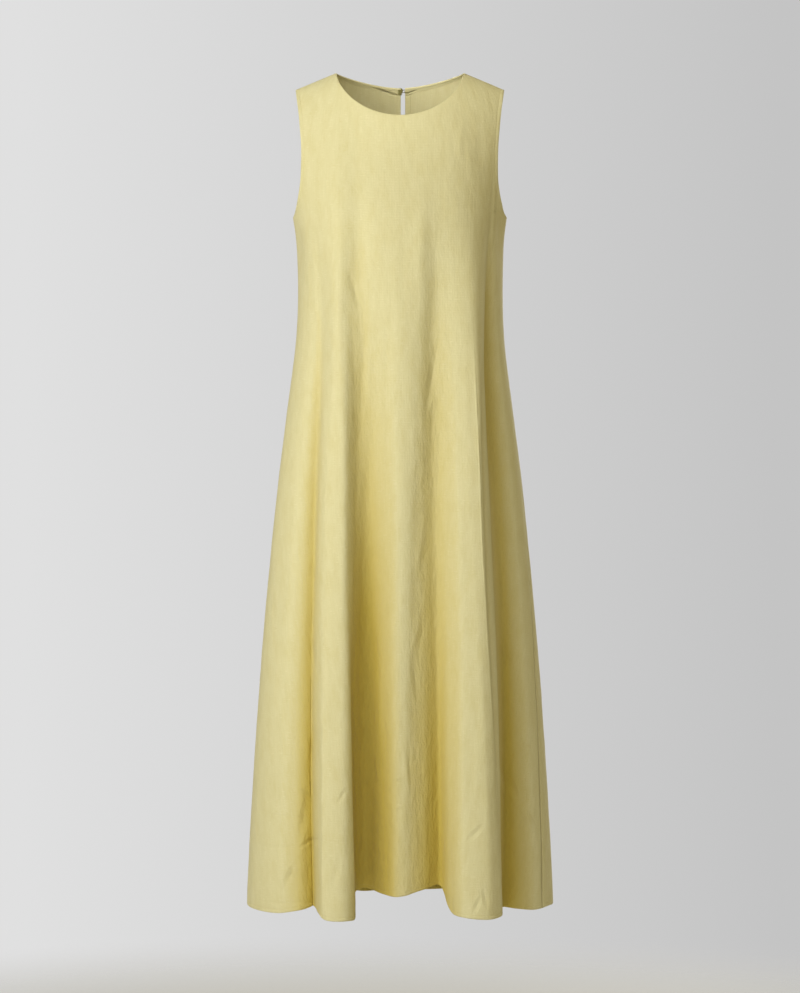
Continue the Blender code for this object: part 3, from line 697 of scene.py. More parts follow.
@dataclass
class DressForm:
    """Shape in which the dress hangs, worked out from its sizes, folds and hollows."""

    neck_half_width: float = 0.0960
    shoulder_half_width: float = 0.1580
    shoulder_slope: float = 0.4150
    torso_half_width: float = 0.1800
    underarm_z: float = -0.2190
    hem_z: float = -1.2540
    # depth of the neck at its middle, and two powers that say how round its edge is
    front_neck: tuple[float, float, float] = (0.0736, 2.0, 0.6)
    back_neck: tuple[float, float, float] = (0.0150, 1.6, 1.05)
    # height in which a panel comes to its full depth, and how round it is at the top
    front_rise: tuple[float, float] = (0.40, 0.60)
    back_rise: tuple[float, float] = (0.28, 0.55)
    fold_start: float = 0.05
    # half steps round and up the body between which a direction is measured
    half_turn: float = 0.3
    half_step: float = 0.0005

    def __post_init__(self) -> None:
        """Turn the tables into curves."""
        self.width, self.front_depth, self.back_depth = curves(BODY_LEVELS)
        (self.armhole,) = curves(ARMHOLE)
        self.seam_left, self.seam_right = curves(SIDE_SEAM)
        self.hem = self.hem_curves()

    def hem_curves(self) -> list[SmoothCurve]:
        """Follow the hem round, so that equal angles hold equal lengths of cloth.

        Returns:
            Curves of the hem's x, y and height by angle, past a full turn at both ends.
        """
        angles: list[float] = []
        points: list[Array] = []
        for rows, start in ((HEM_FRONT, -90.0), (HEM_BACK, 90.0)):
            places = np.array([row[1:4] for row in rows])
            length = run_along(places)
            angles += list(start + 180.0 * length[:-1] / length[-1])
            points += list(places[:-1])
        before, after = 3, 4
        count = len(angles)
        angles = [
            *[a - 360 for a in angles[-before:]], *angles, *[a + 360 for a in angles[:after]]
        ]
        points = [points[(i - before) % count] for i in range(count + before + after)]
        return [SmoothCurve(angles, [p[axis] for p in points]) for axis in range(3)]

    def turn_at(self, x: Array | float) -> Array:
        """Angle from the middle at which the chest has an x."""
        return np.degrees(np.arcsin(x / self.torso_half_width))

    def hem_point(self, angle: Array) -> Array:
        """Points on the hem at some angles."""
        turned = (angle + 90.0) % 360.0 - 90.0
        return np.stack([curve.at(turned) for curve in self.hem], axis=-1)

    def shoulder_z(self, x: Array) -> Array:
        """Height of the shoulder line, rounded over where the neck would be.

        Args:
            x: Places across the dress.

        Returns:
            Height at each place.
        """
        away = np.abs(x)
        neck = self.neck_half_width
        round_part = self.shoulder_slope * (neck**2 - away**2) / (2 * neck)
        return np.where(away >= neck, -self.shoulder_slope * (away - neck), round_part)

    def top_z(self, x: Array, is_front: bool) -> Array:
        """Height of a panel's upper edge: neck edge or shoulder seam.

        Args:
            x: Places across the panel.
            is_front: Whether the panel is the front.

        Returns:
            Height at each place.
        """
        share = np.minimum(1.0, np.abs(x) / self.neck_half_width)
        drop, power, roundness = self.front_neck if is_front else self.back_neck
        neck = -drop * (1.0 - share**power) ** roundness
        return np.where(np.abs(x) >= self.neck_half_width, self.shoulder_z(x), neck)

    def plain(self, angle: Array, z: Array) -> Array:
        """Points of the body before any fold.

        Args:
            angle: Angles round the body.
            z: Heights.

        Returns:
            One point for each angle and height.
        """
        turn = np.radians(angle)
        x = self.width.at(z) * np.sin(turn)
        below = np.maximum(0.0, self.shoulder_z(x) - z)
        front, back = (
            full.at(z) * np.sin(np.pi / 2 * np.minimum(1.0, below / height) ** power)
            for full, (height, power) in (
                (self.front_depth, self.front_rise),
                (self.back_depth, self.back_rise),
            )
        )
        depth = np.where(np.cos(turn) > 0.0, front, back)
        return np.stack([x, -depth * np.cos(turn), z + 0.0 * x], axis=-1)

    def cloth(self, angle: Array, z: Array) -> Array:
        """Points of the hanging cloth: the body, its folds and its hollows.

        Args:
            angle: Angles round the body.
            z: Heights.

        Returns:
            One point for each angle and height.
        """
        point = self.plain(angle, z)
        hem = self.hem_point(angle)
        down = np.maximum(0.0, (self.underarm_z - z) / (self.underarm_z - hem[..., 2]))
        growth = down**2 * (1.0 + self.fold_start) / (down + self.fold_start)
        stretch = hem - self.plain(angle, hem[..., 2])
        point[..., :2] += stretch[..., :2] * growth[..., None]
        turn = np.radians(angle)
        for _, at_angle, at_z, reach, length, depth in HOLLOWS:
            far = ((angle - at_angle) / reach) ** 2 + ((z - at_z) / length) ** 2
            sunk = depth * np.exp(-far)
            point[..., 0] -= np.sin(turn) * sunk
            point[..., 1] += np.cos(turn) * sunk
        return point

    def normal(self, angle: Array, z: Array) -> Array:
        """Directions straight out of the cloth.

        Args:
            angle: Angles round the body.
            z: Heights.

        Returns:
            One direction for each angle and height.
        """
        turn, step = self.half_turn, self.half_step
        across = self.cloth(angle + turn, z) - self.cloth(angle - turn, z)
        up = self.cloth(angle, z + step) - self.cloth(angle, z - step)
        out = np.cross(across, up)
        return out / np.linalg.norm(out, axis=-1, keepdims=True)


@dataclass(frozen=True)
class TurnedEdge:
    """Profile of a pressed edge whose last few millimetres are folded inside."""

    # distance from the edge and depth under the face in mm, from inside to the face;
    # the last third dips where the row of stitches pulls the cloth in
    hem: tuple[tuple[float, float], ...] = (
        *((8.0, 1.62), (5.0, 1.60), (2.2, 1.58), (0.9, 1.42), (0.25, 1.10), (0.0, 0.80)),
        *((0.25, 0.54), (0.8, 0.30), (1.8, 0.09), (3.4, 0.00), (4.6, 0.02), (5.1, 0.14)),
        *((5.5, 0.22), (5.9, 0.14), (6.4, 0.02), (8.0, 0.00), (11.0, 0.00), (15.0, 0.00)),
    )
    tip: int = 5
    # stations folded inside along the top
    top_fold: int = 3
    stitched_mm: tuple[float, float] = (4.0, 7.0)

    def top(self) -> list[tuple[float, float]]:
        """Profile of the upper edge, which has no row of stitches.

        Returns:
            Distance and depth in mm, from the face to the inside.
        """
        low, high = self.stitched_mm
        rows = reversed(self.hem[self.tip - self.top_fold :])
        return [(mm, 0.0 if low < mm < high else depth) for mm, depth in rows]


def run_along(path: Array) -> Array:
    """Length of a path from its start to each of its points."""
    return np.r_[0.0, np.cumsum(np.linalg.norm(np.diff(path, axis=0), axis=1))]


def from_edge(path: Array, shares: Array, distances: Array) -> Array:
    """Shares of a path that lie at given distances before its end.

    Args:
        path: Points, one path a row, ending at the edge.
        shares: Share of the path at each of its points, rising to 1.
        distances: Distances back from the edge, in metres.

    Returns:
        One row of shares for each path.
    """
    steps = np.linalg.norm(np.diff(path[:, ::-1], axis=1), axis=-1)
    back = np.concatenate([np.zeros((len(path), 1)), np.cumsum(steps, axis=1)], axis=1)
    return np.stack([np.interp(distances, row, shares[::-1]) for row in back])


@dataclass
class LinenPanel:
    """The front or the back: one sheet from hem to neck, its edges turned in."""

    form: DressForm
    is_front: bool
    side_columns: int = 110
    skirt_rows: int = 120
    bodice_rows: int = 36
    wall: float = 0.0007
    seam_gap: float = 0.00002
    slit_left_x: float = 0.0012
    slit_right_x: float = 0.0078
    slit_bottom_level: float = 0.4460
    # share of the width and depth in mm over which the slit's edges roll under
    slit_roll: tuple[tuple[float, float], ...] = ((0.0, 0.6), (0.0012, 0.18), (0.003, 0.03))
    # height of the armhole's edge over the cloth beside it, and how far in that reaches
    edge_lift: float = 0.0013
    lift_reach: float = 0.0062
    # share of the bodice, under its top, in which creases and gaps fade
    top_fade: float = 0.06
    # distance beside the neck over which the shoulder edges come together
    shoulder_start: float = 0.004
    edge: TurnedEdge = field(default_factory=TurnedEdge)

    def __post_init__(self) -> None:
        """Work out the grid of the sheet."""
        self.name = "front" if self.is_front else "back"
        self.place_columns()
        self.place_rows()
        self.place_points()

    def place_columns(self) -> None:
        """Lay out the columns from the wearer's right to the left.

        Each has a side, a share of the inner width, a distance from the outer edge and
        the depth by which the edge is turned.
        """
        edge = reversed(self.edge.hem)
        half = [(i / self.side_columns, INNER, 0.0) for i in range(1, self.side_columns)]
        half += [(1.0, mm * MM + self.seam_gap, depth * MM) for mm, depth in edge]
        middle = [(1.0, 0.0, INNER, 0.0)]
        if not self.is_front:
            roll = [(share, SLIT, depth * MM) for share, depth in self.slit_roll]
            half = [*roll[1:], *half]
            middle = [(-1.0, *roll[0]), (1.0, *roll[0])]
        rows = [(-1.0, *column) for column in reversed(half)] + middle
        rows += [(1.0, *column) for column in half]
        self.side, self.inner, self.rim, self.tuck = np.array(rows).T

    def place_rows(self) -> None:
        """Lay out the rows from the turned hem to the turned top.

        Each has a share of the skirt's height, a share of the bodice's, a distance
        under the upper edge and the depth by which the edge is turned.
        """
        drop = self.form.underarm_z - self.form.hem_z
        rows = [(mm * MM / drop, 0.0, INNER, depth * MM) for mm, depth in self.edge.hem]
        first = rows[-1][0]
        for i in range(1, self.skirt_rows + 1):
            rows.append((first + (1.0 - first) * i / self.skirt_rows, 0.0, INNER, 0.0))
        rows += [(1.0, i / self.bodice_rows, INNER, 0.0) for i in range(1, self.bodice_rows)]
        for mm, depth in self.edge.top():
            rows.append((1.0, 1.0, mm * MM + self.seam_gap, depth * MM))
        self.skirt, self.level, self.fall, self.sink = np.array(rows).T
        self.top_row = len(rows) - 1 - self.edge.top_fold

    @staticmethod
    def spread(share: Array, edge: Array | float, start: Array) -> Array:
        """Angle from the middle of a column above the underarm, by the armhole's angle."""
        turn = 90.0 * share - (90.0 - edge) * np.maximum(share, 0.0) ** 1.5
        return start + turn * (1.0 - start / edge)

    def place(
        self, side: Array, share: Array, skirt: Array | float, level: Array
    ) -> tuple[Array, Array]:
        """Find places on the panel.

        Args:
            side: -1 for the wearer's right and 1 for the left.
            share: Share of the way from the middle to the outer edge.
            skirt: Share of the way from the hem to the underarm.
            level: Share of the way from the underarm to the upper edge.

        Returns:
            Angles round the body, and heights.
        """
        form = self.form
        slit_x = np.where(side > 0, self.slit_right_x, -self.slit_left_x)
        start = 0.0 * side if self.is_front else form.turn_at(slit_x)
        # on the skirt a column ends at the side seam
        seam_z = form.underarm_z + (form.hem_z - form.underarm_z) * (1.0 - skirt)
        seam = np.where(side > 0, form.seam_left.at(seam_z), form.seam_right.at(seam_z))
        whole = seam if self.is_front else 180.0 - seam
        low = start + whole * share * (1.0 - start / whole)
        # on the bodice it ends at the armhole
        tip_z = form.shoulder_z(np.array(form.shoulder_half_width))
        edge_z = form.underarm_z + (tip_z - form.underarm_z) * level
        reach = np.minimum(1.0, form.armhole.at(edge_z) / form.width.at(edge_z))
        high = self.spread(share, np.degrees(np.arcsin(reach)), start)
        top_turn = self.spread(share, form.turn_at(form.shoulder_half_width), start)
        top_x = form.torso_half_width * np.sin(np.radians(top_turn))
        top_z = form.top_z(top_x, self.is_front)
        is_high = (level > 0.0) & (skirt >= 1.0)
        turn = np.where(is_high, high, low)
        angle = side * turn if self.is_front else 180.0 - side * turn
        low_z = form.hem_point(angle)[..., 2]
        low_z += (form.underarm_z - low_z) * skirt
        high_z = form.underarm_z + (top_z - form.underarm_z) * level
        return angle, np.where(is_high, high_z, low_z)

    def edge_places(self) -> tuple[Array, Array]:
        """Measure the turned edges along the cloth.

        Returns:
            Share of the width and of the height over the underarm, for each grid point.
        """
        # the last quarter of the way, closer together toward the edge
        samples = 1.0 - np.linspace(1.0, 0.0, 120) ** 2.5 * 0.25
        shares = np.zeros((len(self.skirt), len(self.side)))
        rims = np.unique(self.rim[self.rim >= 0.0])
        for hand in (-1.0, 1.0):
            side = np.full((len(self.skirt), len(samples)), hand)
            place = self.place(side, samples, self.skirt[:, None], self.level[:, None])
            found = from_edge(self.form.cloth(*place), samples, rims)
            for column in np.nonzero(self.side == hand)[0]:
                rim, inner = self.rim[column], self.inner[column]
                if rim >= 0.0:
                    shares[:, column] = found[:, np.searchsorted(rims, rim)]
                else:
                    shares[:, column] = inner if rim == SLIT else found[:, -1] * inner
        levels = np.repeat(self.level[:, None], len(self.side), axis=1)
        side = np.repeat(self.side[:, None], len(samples), axis=1)
        place = self.place(side, shares[-1][:, None], 1.0, samples)
        falls = np.unique(self.fall[self.fall >= 0.0])
        found = from_edge(self.form.cloth(*place), samples, falls)
        for row in np.nonzero(self.skirt >= 1.0)[0]:
            if self.fall[row] >= 0.0:
                levels[row] = found[:, np.searchsorted(falls, self.fall[row])]
            else:
                levels[row] = found[:, -1] * self.level[row]
        return shares, levels

    def place_points(self) -> None:
        """Find every grid point of the sheet, its face and its flat place."""
        shares, levels = self.edge_places()
        self.row_level = levels[:, len(self.side) // 2]
        side = np.broadcast_to(self.side, shares.shape)
        place = self.place(side, shares, self.skirt[:, None], levels)
        clean = self.form.cloth(*place)
        self.out = self.form.normal(*place)
        relief = self.relief(clean)
        rim = np.where(self.rim >= 0.0, self.rim, 1.0)
        # the edge is lifted along the armhole, not along the side seam
        beside = np.clip((self.level[:, None] - 0.04) / 0.12, 0.0, 1.0)
        relief -= self.edge_lift * np.clip(1.0 - rim / self.lift_reach, 0.0, 1.0) * beside
        relief *= np.clip((1.0 - levels) / self.top_fade, 0.0, 1.0)
        self.face = clean - self.out * relief[..., None]
        under_slit = (self.rim == SLIT) & (levels < self.slit_bottom_level)
        depth = np.maximum(self.sink[:, None], np.where(under_slit, 0.0, self.tuck))
        self.points = self.face - self.out * depth[..., None]
        self.close_shoulders(levels)
        self.flat = self.flat_places()
        # how closed in the cloth is sets the painted shade in the folds and how deep the
        # crumples go
        self.fold = self.fold_depth()

    def close_shoulders(self, levels: Array) -> None:
        """Bring the shoulder edges to the middle plane, where both panels meet.

        Args:
            levels: Share of the height over the underarm for each grid point.
        """
        outward = -1.0 if self.is_front else 1.0
        edge = outward * self.points[self.top_row - 2 :, :, 1]
        away = np.abs(self.face[self.top_row, :, 0]) - self.form.neck_half_width
        beside = np.clip(away / self.shoulder_start, 0.0, 1.0)
        gap = (np.min(edge, axis=0) - self.seam_gap) * beside
        near = np.clip((levels - 1.0 + self.top_fade) / self.top_fade, 0.0, 1.0)
        for grid in (self.face, self.points):
            grid[..., 1] -= outward * gap * near

    def relief(self, clean: Array) -> Array:
        """Depth of the pleat lines, creases and rumples at each grid point.

        Args:
            clean: Grid points before any crease.

        Returns:
            Depth under the clean surface, in metres.
        """
        x, z = clean[..., 0], clean[..., 2]
        depth = self.rumples(clean)
        creases = FRONT_CREASES if self.is_front else BACK_CREASES
        for kind, x0, z0, lean, half_length, half_width, amount in creases:
            if kind is SHARP:
                continue
            turn = math.radians(lean)
            along = (x - x0) * math.sin(turn) + (z - z0) * math.cos(turn)
            off = (x - x0) * math.cos(turn) - (z - z0) * math.sin(turn)
            taper = np.maximum(0.0, 1.0 - (along / half_length) ** 2) ** 2
            depth += amount * MM * taper * kind.across(off / half_width)
        for _, kind, rows in FRONT_LINES if self.is_front else BACK_LINES:
            middle, width, amount = (curve.at(z) for curve in curves(rows))
            depth += amount * MM * kind.across((x - middle) / width)
        return depth

    @staticmethod
    def rumples(clean: Array) -> Array:
        """Small uneven waves in the cloth, stronger toward the hem.

        Args:
            clean: Grid points before any crease.

        Returns:
            Depth of the waves, in metres.
        """
        # depth in mm, and waves a metre along x, y and z, of long waves, small waves
        # and narrow ridges
        waves = [
            0.45 * noise.noise((x * 30, y * 30, z * 9))
            + 0.28 * noise.noise((x * 75 + 7, y * 75, z * 40))
            - 0.35 * abs(noise.noise((x * 50 + 3, y * 50, z * 42 + 9)))
            for x, y, z in clean.reshape(-1, 3).tolist()
        ]
        down = np.clip(-clean[..., 2] / 1.25, 0.0, 1.0)
        return np.array(waves).reshape(down.shape) * MM * (0.35 + 0.85 * down)

    def fold_depth(self) -> Array:
        """Find how much the cloth beside each point closes it in.

        Returns:
            Depth for each grid point, 0 where it lies open and 1 deep in a fold.
        """
        height, count = self.face.shape[:2]
        outward = self.out[..., :2] / np.linalg.norm(self.out[..., :2], axis=-1, keepdims=True)
        along = np.stack([-outward[..., 1], outward[..., 0]], axis=-1)
        closed = np.zeros((height, count))
        for hand in (-1, 1):
            highest = np.zeros(closed.shape)
            # columns up to about a fold's width away
            for step in range(2, 58, 2):
                columns = np.clip(np.arange(count) + hand * step, 0, count - 1)
                away = self.face[:, columns, :2] - self.face[..., :2]
                rise = (away * outward).sum(axis=-1)
                run = np.abs((away * along).sum(axis=-1)) + 0.0015
                highest = np.maximum(highest, np.arctan2(rise, run))
            closed += highest / math.pi
        # above the waist the neck and shoulders bend the rows, not the cloth
        closed *= np.clip((-0.14 - self.face[..., 2]) / 0.14, 0.0, 1.0)
        wide = np.pad(closed, ((2, 2), (2, 2)), "edge")
        rows = sum(wide[i : i + height] for i in range(5)) / 5
        return sum(rows[:, i : i + count] for i in range(5)) / 5

    def flat_places(self) -> Array:
        """Lay the cloth flat.

        Returns:
            Level distance from the middle, and height, for each grid point.
        """
        middle = len(self.side) // 2
        across = np.linalg.norm(np.diff(self.face[..., :2], axis=1), axis=-1)
        across = np.cumsum(np.pad(across, ((0, 0), (1, 0))), axis=1)
        across -= across[:, middle : middle + 1]
        return np.stack([across, self.face[..., 2]], axis=-1)

    def build(self, linen: Finish) -> Piece:
        """Make the panel's sheet.

        Args:
            linen: Finish of the cloth.

        Returns:
            The finished object.
        """
        slit_row = int(np.argmax(self.row_level >= self.slit_bottom_level))
        slit = None if self.is_front else (len(self.side) // 2 - 1, slit_row)
        mesh = cloth_grid(self.points, self.flat, self.is_front, self.fold, slit)
        return finished(f"{self.name}_panel", mesh, linen, self.wall)

    def spot(self, row: float, column: float) -> tuple[Array, Array]:
        """Find a place on the outer face, between grid lines.

        Args:
            row: Row, with its fraction.
            column: Column, with its fraction.

        Returns:
            The point and its outward direction.
        """
        low = min(max(int(row), 0), self.face.shape[0] - 2)
        near = min(max(int(column), 0), self.face.shape[1] - 2)
        s, t = row - low, column - near
        point, out = (
            grid[low, near] * (1 - s) * (1 - t)
            + grid[low + 1, near] * s * (1 - t)
            + grid[low, near + 1] * (1 - s) * t
            + grid[low + 1, near + 1] * s * t
            for grid in (self.face, self.out)
        )
        return point, out / np.linalg.norm(out)

    def row_below_top(self, column: float, distance: float) -> float:
        """Row that lies at a distance under the neck edge, along the cloth."""
        rows = np.arange(self.top_row, self.top_row - 60, -1)
        return float(np.interp(distance, run_along(self.face[rows, int(round(column))]), rows))

    def column_at_top(self, x: float) -> float:
        """Find the column whose upper edge has an x.

        Args:
            x: Place across the dress.

        Returns:
            Column, with its fraction.
        """
        edge = self.face[self.top_row, :, 0]
        # without the turned columns at both sides, where x runs back
        inner = np.arange(self.edge.tip + 8, len(edge) - self.edge.tip - 8)
        return float(np.interp(x, edge[inner], inner))


def linked(name: str, data: bpy.types.ID) -> Piece:
    """Put an object into the scene.

    Args:
        name: Name of the object.
        data: Its new mesh, lamp or camera.

    Returns:
        The new object.
    """
    made = bpy.data.objects.new(name, data)
    bpy.context.scene.collection.objects.link(made)
    return made


def finished(name: str, mesh: Mesh, material: Finish, wall: float = 0.0) -> Piece:
    """Link an edited mesh to the scene with its finish.

    Args:
        name: Name of the piece.
        mesh: Edited mesh, freed here.
        material: Finish of the piece.
        wall: Thickness of a sheet, inward from its outer face.

    Returns:
        The new object, at the origin.
    """
    data = bpy.data.meshes.new(name)
    for face in mesh.faces:
        face.smooth = True
    mesh.to_mesh(data)
    mesh.free()
    data.materials.append(material)
    made = linked(name, data)
    if wall:
        solid = made.modifiers.new("cloth thickness", "SOLIDIFY")
        solid.thickness = wall
        solid.offset = -1.0
        solid.use_even_offset = False
        solid.use_rim = True
    return made


def cloth_grid(
    points: Array,
    flat: Array,
    is_front: bool,
    fold: Array | None = None,
    slit: tuple[int, int] | None = None,
) -> Mesh:
    """Make a sheet from a grid of points, its face on the outside of the dress.

    Args:
        points: Rows and columns of points.
        flat: Flat place of each point, in metres.
        is_front: Whether the sheet lies on the front.
        fold: Fold depth of each point, or None where it isn't in a fold.
        slit: Column and first row of the faces left out.

    Returns:
        The edited mesh.
    """
    rows, columns = points.shape[:2]
    mesh = bmesh.new()
    bmesh.ops.create_grid(mesh, x_segments=columns - 1, y_segments=rows - 1, size=1.0)
    uv = mesh.loops.layers.uv.new("cloth")
    layer = mesh.verts.layers.float.new("fold")
    cells: dict[bmesh.types.BMVert, tuple[int, int]] = {}
    for vert in mesh.verts:
        column = round((vert.co.x + 1.0) / 2.0 * (columns - 1))
        row = round((vert.co.y + 1.0) / 2.0 * (rows - 1))
        cells[vert] = (row, column)
        vert.co = points[row, column]
        vert[layer] = 0.0 if fold is None else fold[row, column]
    gone = []
    for face in mesh.faces:
        for loop in face.loops:
            loop[uv].uv = flat[cells[loop.vert]]
        row, column = (min(cells[v][axis] for v in face.verts) for axis in (0, 1))
        if slit and column == slit[0] and row >= slit[1]:
            gone.append(face)
    bmesh.ops.delete(mesh, geom=gone, context="FACES")
    if not is_front:
        bmesh.ops.reverse_faces(mesh, faces=mesh.faces[:])
    return mesh


def add_bead(mesh: Mesh, place: Matrix, size: tuple[float, ...], around: int) -> None:
    """Add a stretched sphere, for a stitch or a turn of thread.

    Args:
        mesh: Mesh that takes it.
        place: Its place and turn.
        size: Half its length, width and thickness.
        around: Number of its sides.
    """
    matrix = place @ Matrix.Diagonal((*size, 1.0))
    sides = {"u_segments": around, "v_segments": around * 2 // 3}
    bmesh.ops.create_uvsphere(mesh, **sides, radius=1.0, matrix=matrix)


class NeckPart(Enum):
    """Which strip of the neck facing."""

    FRONT = "neck_facing_front"
    BACK_LEFT = "neck_facing_back_left"
    BACK_RIGHT = "neck_facing_back_right"


@dataclass
class NeckFacing:
    """Narrow strip sewn round the inside of the neck edge."""

    panel: LinenPanel
    part: NeckPart
    wall: float = 0.0003
    width_at_slit: float = 0.0105
    width: float = 0.0085
    neck_point_x: float = 0.0962
    slit_x: float = 0.0045
    slit_reach: float = 0.020
    # distance under the neck edge and depth under the face, in mm
    profile: tuple[tuple[float, float], ...] = (
        *((0.9, 1.66), (1.5, 1.70), (2.4, 1.70), (3.3, 1.45)),
        *((4.4, 1.00), (5.6, 0.82), (6.8, 0.74), (7.8, 0.68)),
    )
    # distances under the neck edge below which the strip widens and puckers at the slit
    widens_mm: float = 3.0
    puckers_mm: float = 2.0
    # step between columns of the strip laid flat
    flat_step: float = 0.0013
    # depth of the lower edge, away from the slit and how much more beside it
    lower_edge_mm: tuple[float, float] = (0.62, 0.62)
    # depth that the strip keeps beside the slit, where the slit's facing lies under it
    depth_at_slit_mm: float = 1.36
    pucker_mm: float = 0.22
    # puckers along the edge, in radians a metre
    pucker_turn: float = 820.0

    def columns(self) -> Array:
        """Find the columns of the panel that the strip runs along.

        Returns:
            Columns from the wearer's right to the left.
        """
        panel = self.panel
        middle = len(panel.side) // 2
        left = panel.column_at_top(self.neck_point_x)
        right = panel.column_at_top(-self.neck_point_x)
        if self.part is NeckPart.FRONT:
            return np.linspace(right, left, 150)
        if self.part is NeckPart.BACK_LEFT:
            return np.linspace(middle + 0.05, left, 90)
        return np.linspace(right, middle - 1.05, 90)

    def stations(self, near: float) -> list[tuple[float, float]]:
        """Lay out the strip's width at one column.

        Args:
            near: How near the column is to the slit, 1 at the slit.

        Returns:
            Distance under the neck edge and depth under the face in mm, from the lower
            edge up.
        """
        width = self.width + (self.width_at_slit - self.width) * near
        least, more = self.lower_edge_mm
        found = [(width / MM, least + more * near)]
        for distance, depth in reversed(self.profile):
            if distance > self.widens_mm:
                depth += near * max(0.0, self.depth_at_slit_mm - depth)
                distance *= width / self.width
            found.append((distance, depth))
        return found

    def build(self, linen: Finish) -> Piece:
        """Make the strip.

        Args:
            linen: Finish of the cloth.

        Returns:
            The finished object.
        """
        panel = self.panel
        columns = self.columns()
        points = np.zeros((len(self.profile) + 1, len(columns), 3))
        flat = np.zeros((*points.shape[:2], 2))
        for j, column in enumerate(columns):
            x = panel.spot(panel.top_row, column)[0][0]
            far = (x - self.slit_x) / self.slit_reach
            near = 0.0 if panel.is_front else math.exp(-(far**2))
            pucker = self.pucker_mm * near * math.sin(x * self.pucker_turn)
            for i, (distance, depth) in enumerate(self.stations(near)):
                row = panel.row_below_top(column, distance * MM)
                point, out = panel.spot(row, column)
                if distance > self.puckers_mm:
                    depth += pucker
                points[i, j] = point - out * depth * MM
                flat[i, j] = (distance * MM, j * self.flat_step)
        mesh = cloth_grid(points, flat, panel.is_front)
        return finished(f"{self.part.value}_strip", mesh, linen, self.wall)


@dataclass
class SlitFacing:
    """Strip pressed flat round the slit, inside the back."""

    panel: LinenPanel
    wall: float = 0.0003
    below: float = 0.0080
    row_height: float = 0.0040
    top_distance: float = 0.0072
    # distance from the slit's edge and depth under the face, in mm
    profile: tuple[tuple[float, float], ...] = (
        *((0.35, 1.42), (1.0, 1.12), (2.2, 0.82), (4.0, 0.77)),
        *((6.2, 0.74), (7.6, 0.68), (8.6, 0.52)),
    )
    depth_below_mm: float = 0.77
    # step between rows of the strip laid flat
    flat_step: float = 0.0020

    def build(self, linen: Finish) -> Piece:
        """Make the strip, open along the slit.

        Args:
            linen: Finish of the cloth.

        Returns:
            The finished object.
        """
        panel = self.panel
        middle = len(panel.side) // 2
        every_row = np.arange(len(panel.row_level))
        bottom = float(np.interp(panel.slit_bottom_level, panel.row_level, every_row))
        first = bottom - self.below / self.row_height
        top = panel.row_below_top(middle, self.top_distance)
        under = 4
        rows = np.r_[np.linspace(first, bottom, under + 1), np.linspace(bottom, top, 40)[1:]]
        across = [(-1, *item) for item in reversed(self.profile)]
        across += [(1, *item) for item in self.profile]
        points = np.zeros((len(rows), len(across), 3))
        flat = np.zeros((*points.shape[:2], 2))
        for i, row in enumerate(rows):
            line = panel.face[int(round(row))]
            for j, (hand, distance, depth) in enumerate(across):
                places = (middle if hand > 0 else middle - 1) + hand * np.arange(8)
                column = np.interp(distance * MM, run_along(line[places]), places)
                point, out = panel.spot(row, float(column))
                sunk = depth if row > bottom else self.depth_below_mm
                points[i, j] = point - out * sunk * MM
                flat[i, j] = (hand * distance * MM, i * self.flat_step)
        slit = (len(self.profile) - 1, under)
        mesh = cloth_grid(points, flat, panel.is_front, slit=slit)
        return finished("slit_facing_strip", mesh, linen, self.wall)


@dataclass
class Stitching:
    """Rows of small machine stitches beside the hem and the armholes."""

    panel: LinenPanel
    pitch: float = 0.0030
    length: float = 0.0022
    thickness: float = 0.00032
    rise: float = 0.00008
    # station of the edge's profile where the cloth dips under the row
    station: int = 12

    def paths(self) -> list[tuple[Array, Array]]:
        """Find the lines of the stitches.

        Returns:
            Points and outward directions of each line.
        """
        panel = self.panel
        edge, count = self.panel.edge.tip + 6, len(panel.side)
        up = np.nonzero((panel.skirt >= 1.0) & (panel.level > 0.02))[0]
        up = up[up < panel.top_row - 2]
        lines = (
            (self.station, slice(edge, count - edge)),
            (up, self.station),
            (up, count - 1 - self.station),
        )
        return [(panel.points[line], panel.out[line]) for line in lines]

    def build(self, thread: Finish) -> Piece:
        """Make all the stitches of the panel as one object.

        Args:
            thread: Finish of the sewing thread.

        Returns:
            The finished object.
        """
        size = (self.length / 2, self.thickness / 2, self.thickness / 2)
        mesh = bmesh.new()
        for points, outs in self.paths():
            along = run_along(points)
            for place in np.arange(self.pitch, along[-1] - self.pitch, self.pitch):
                here, ahead, out = (
                    Vector([np.interp(p, along, line) for line in grid.T])
                    for p, grid in ((place, points), (place + MM, points), (place, outs))
                )
                run = (ahead - here).normalized()
                across = out.cross(run).normalized()
                turn = Matrix((run, across, run.cross(across))).transposed().to_4x4()
                over = Matrix.Translation(here + out.normalized() * self.rise)
                add_bead(mesh, over @ turn, size, 6)
        return finished(f"{self.panel.name}_stitches", mesh, thread)


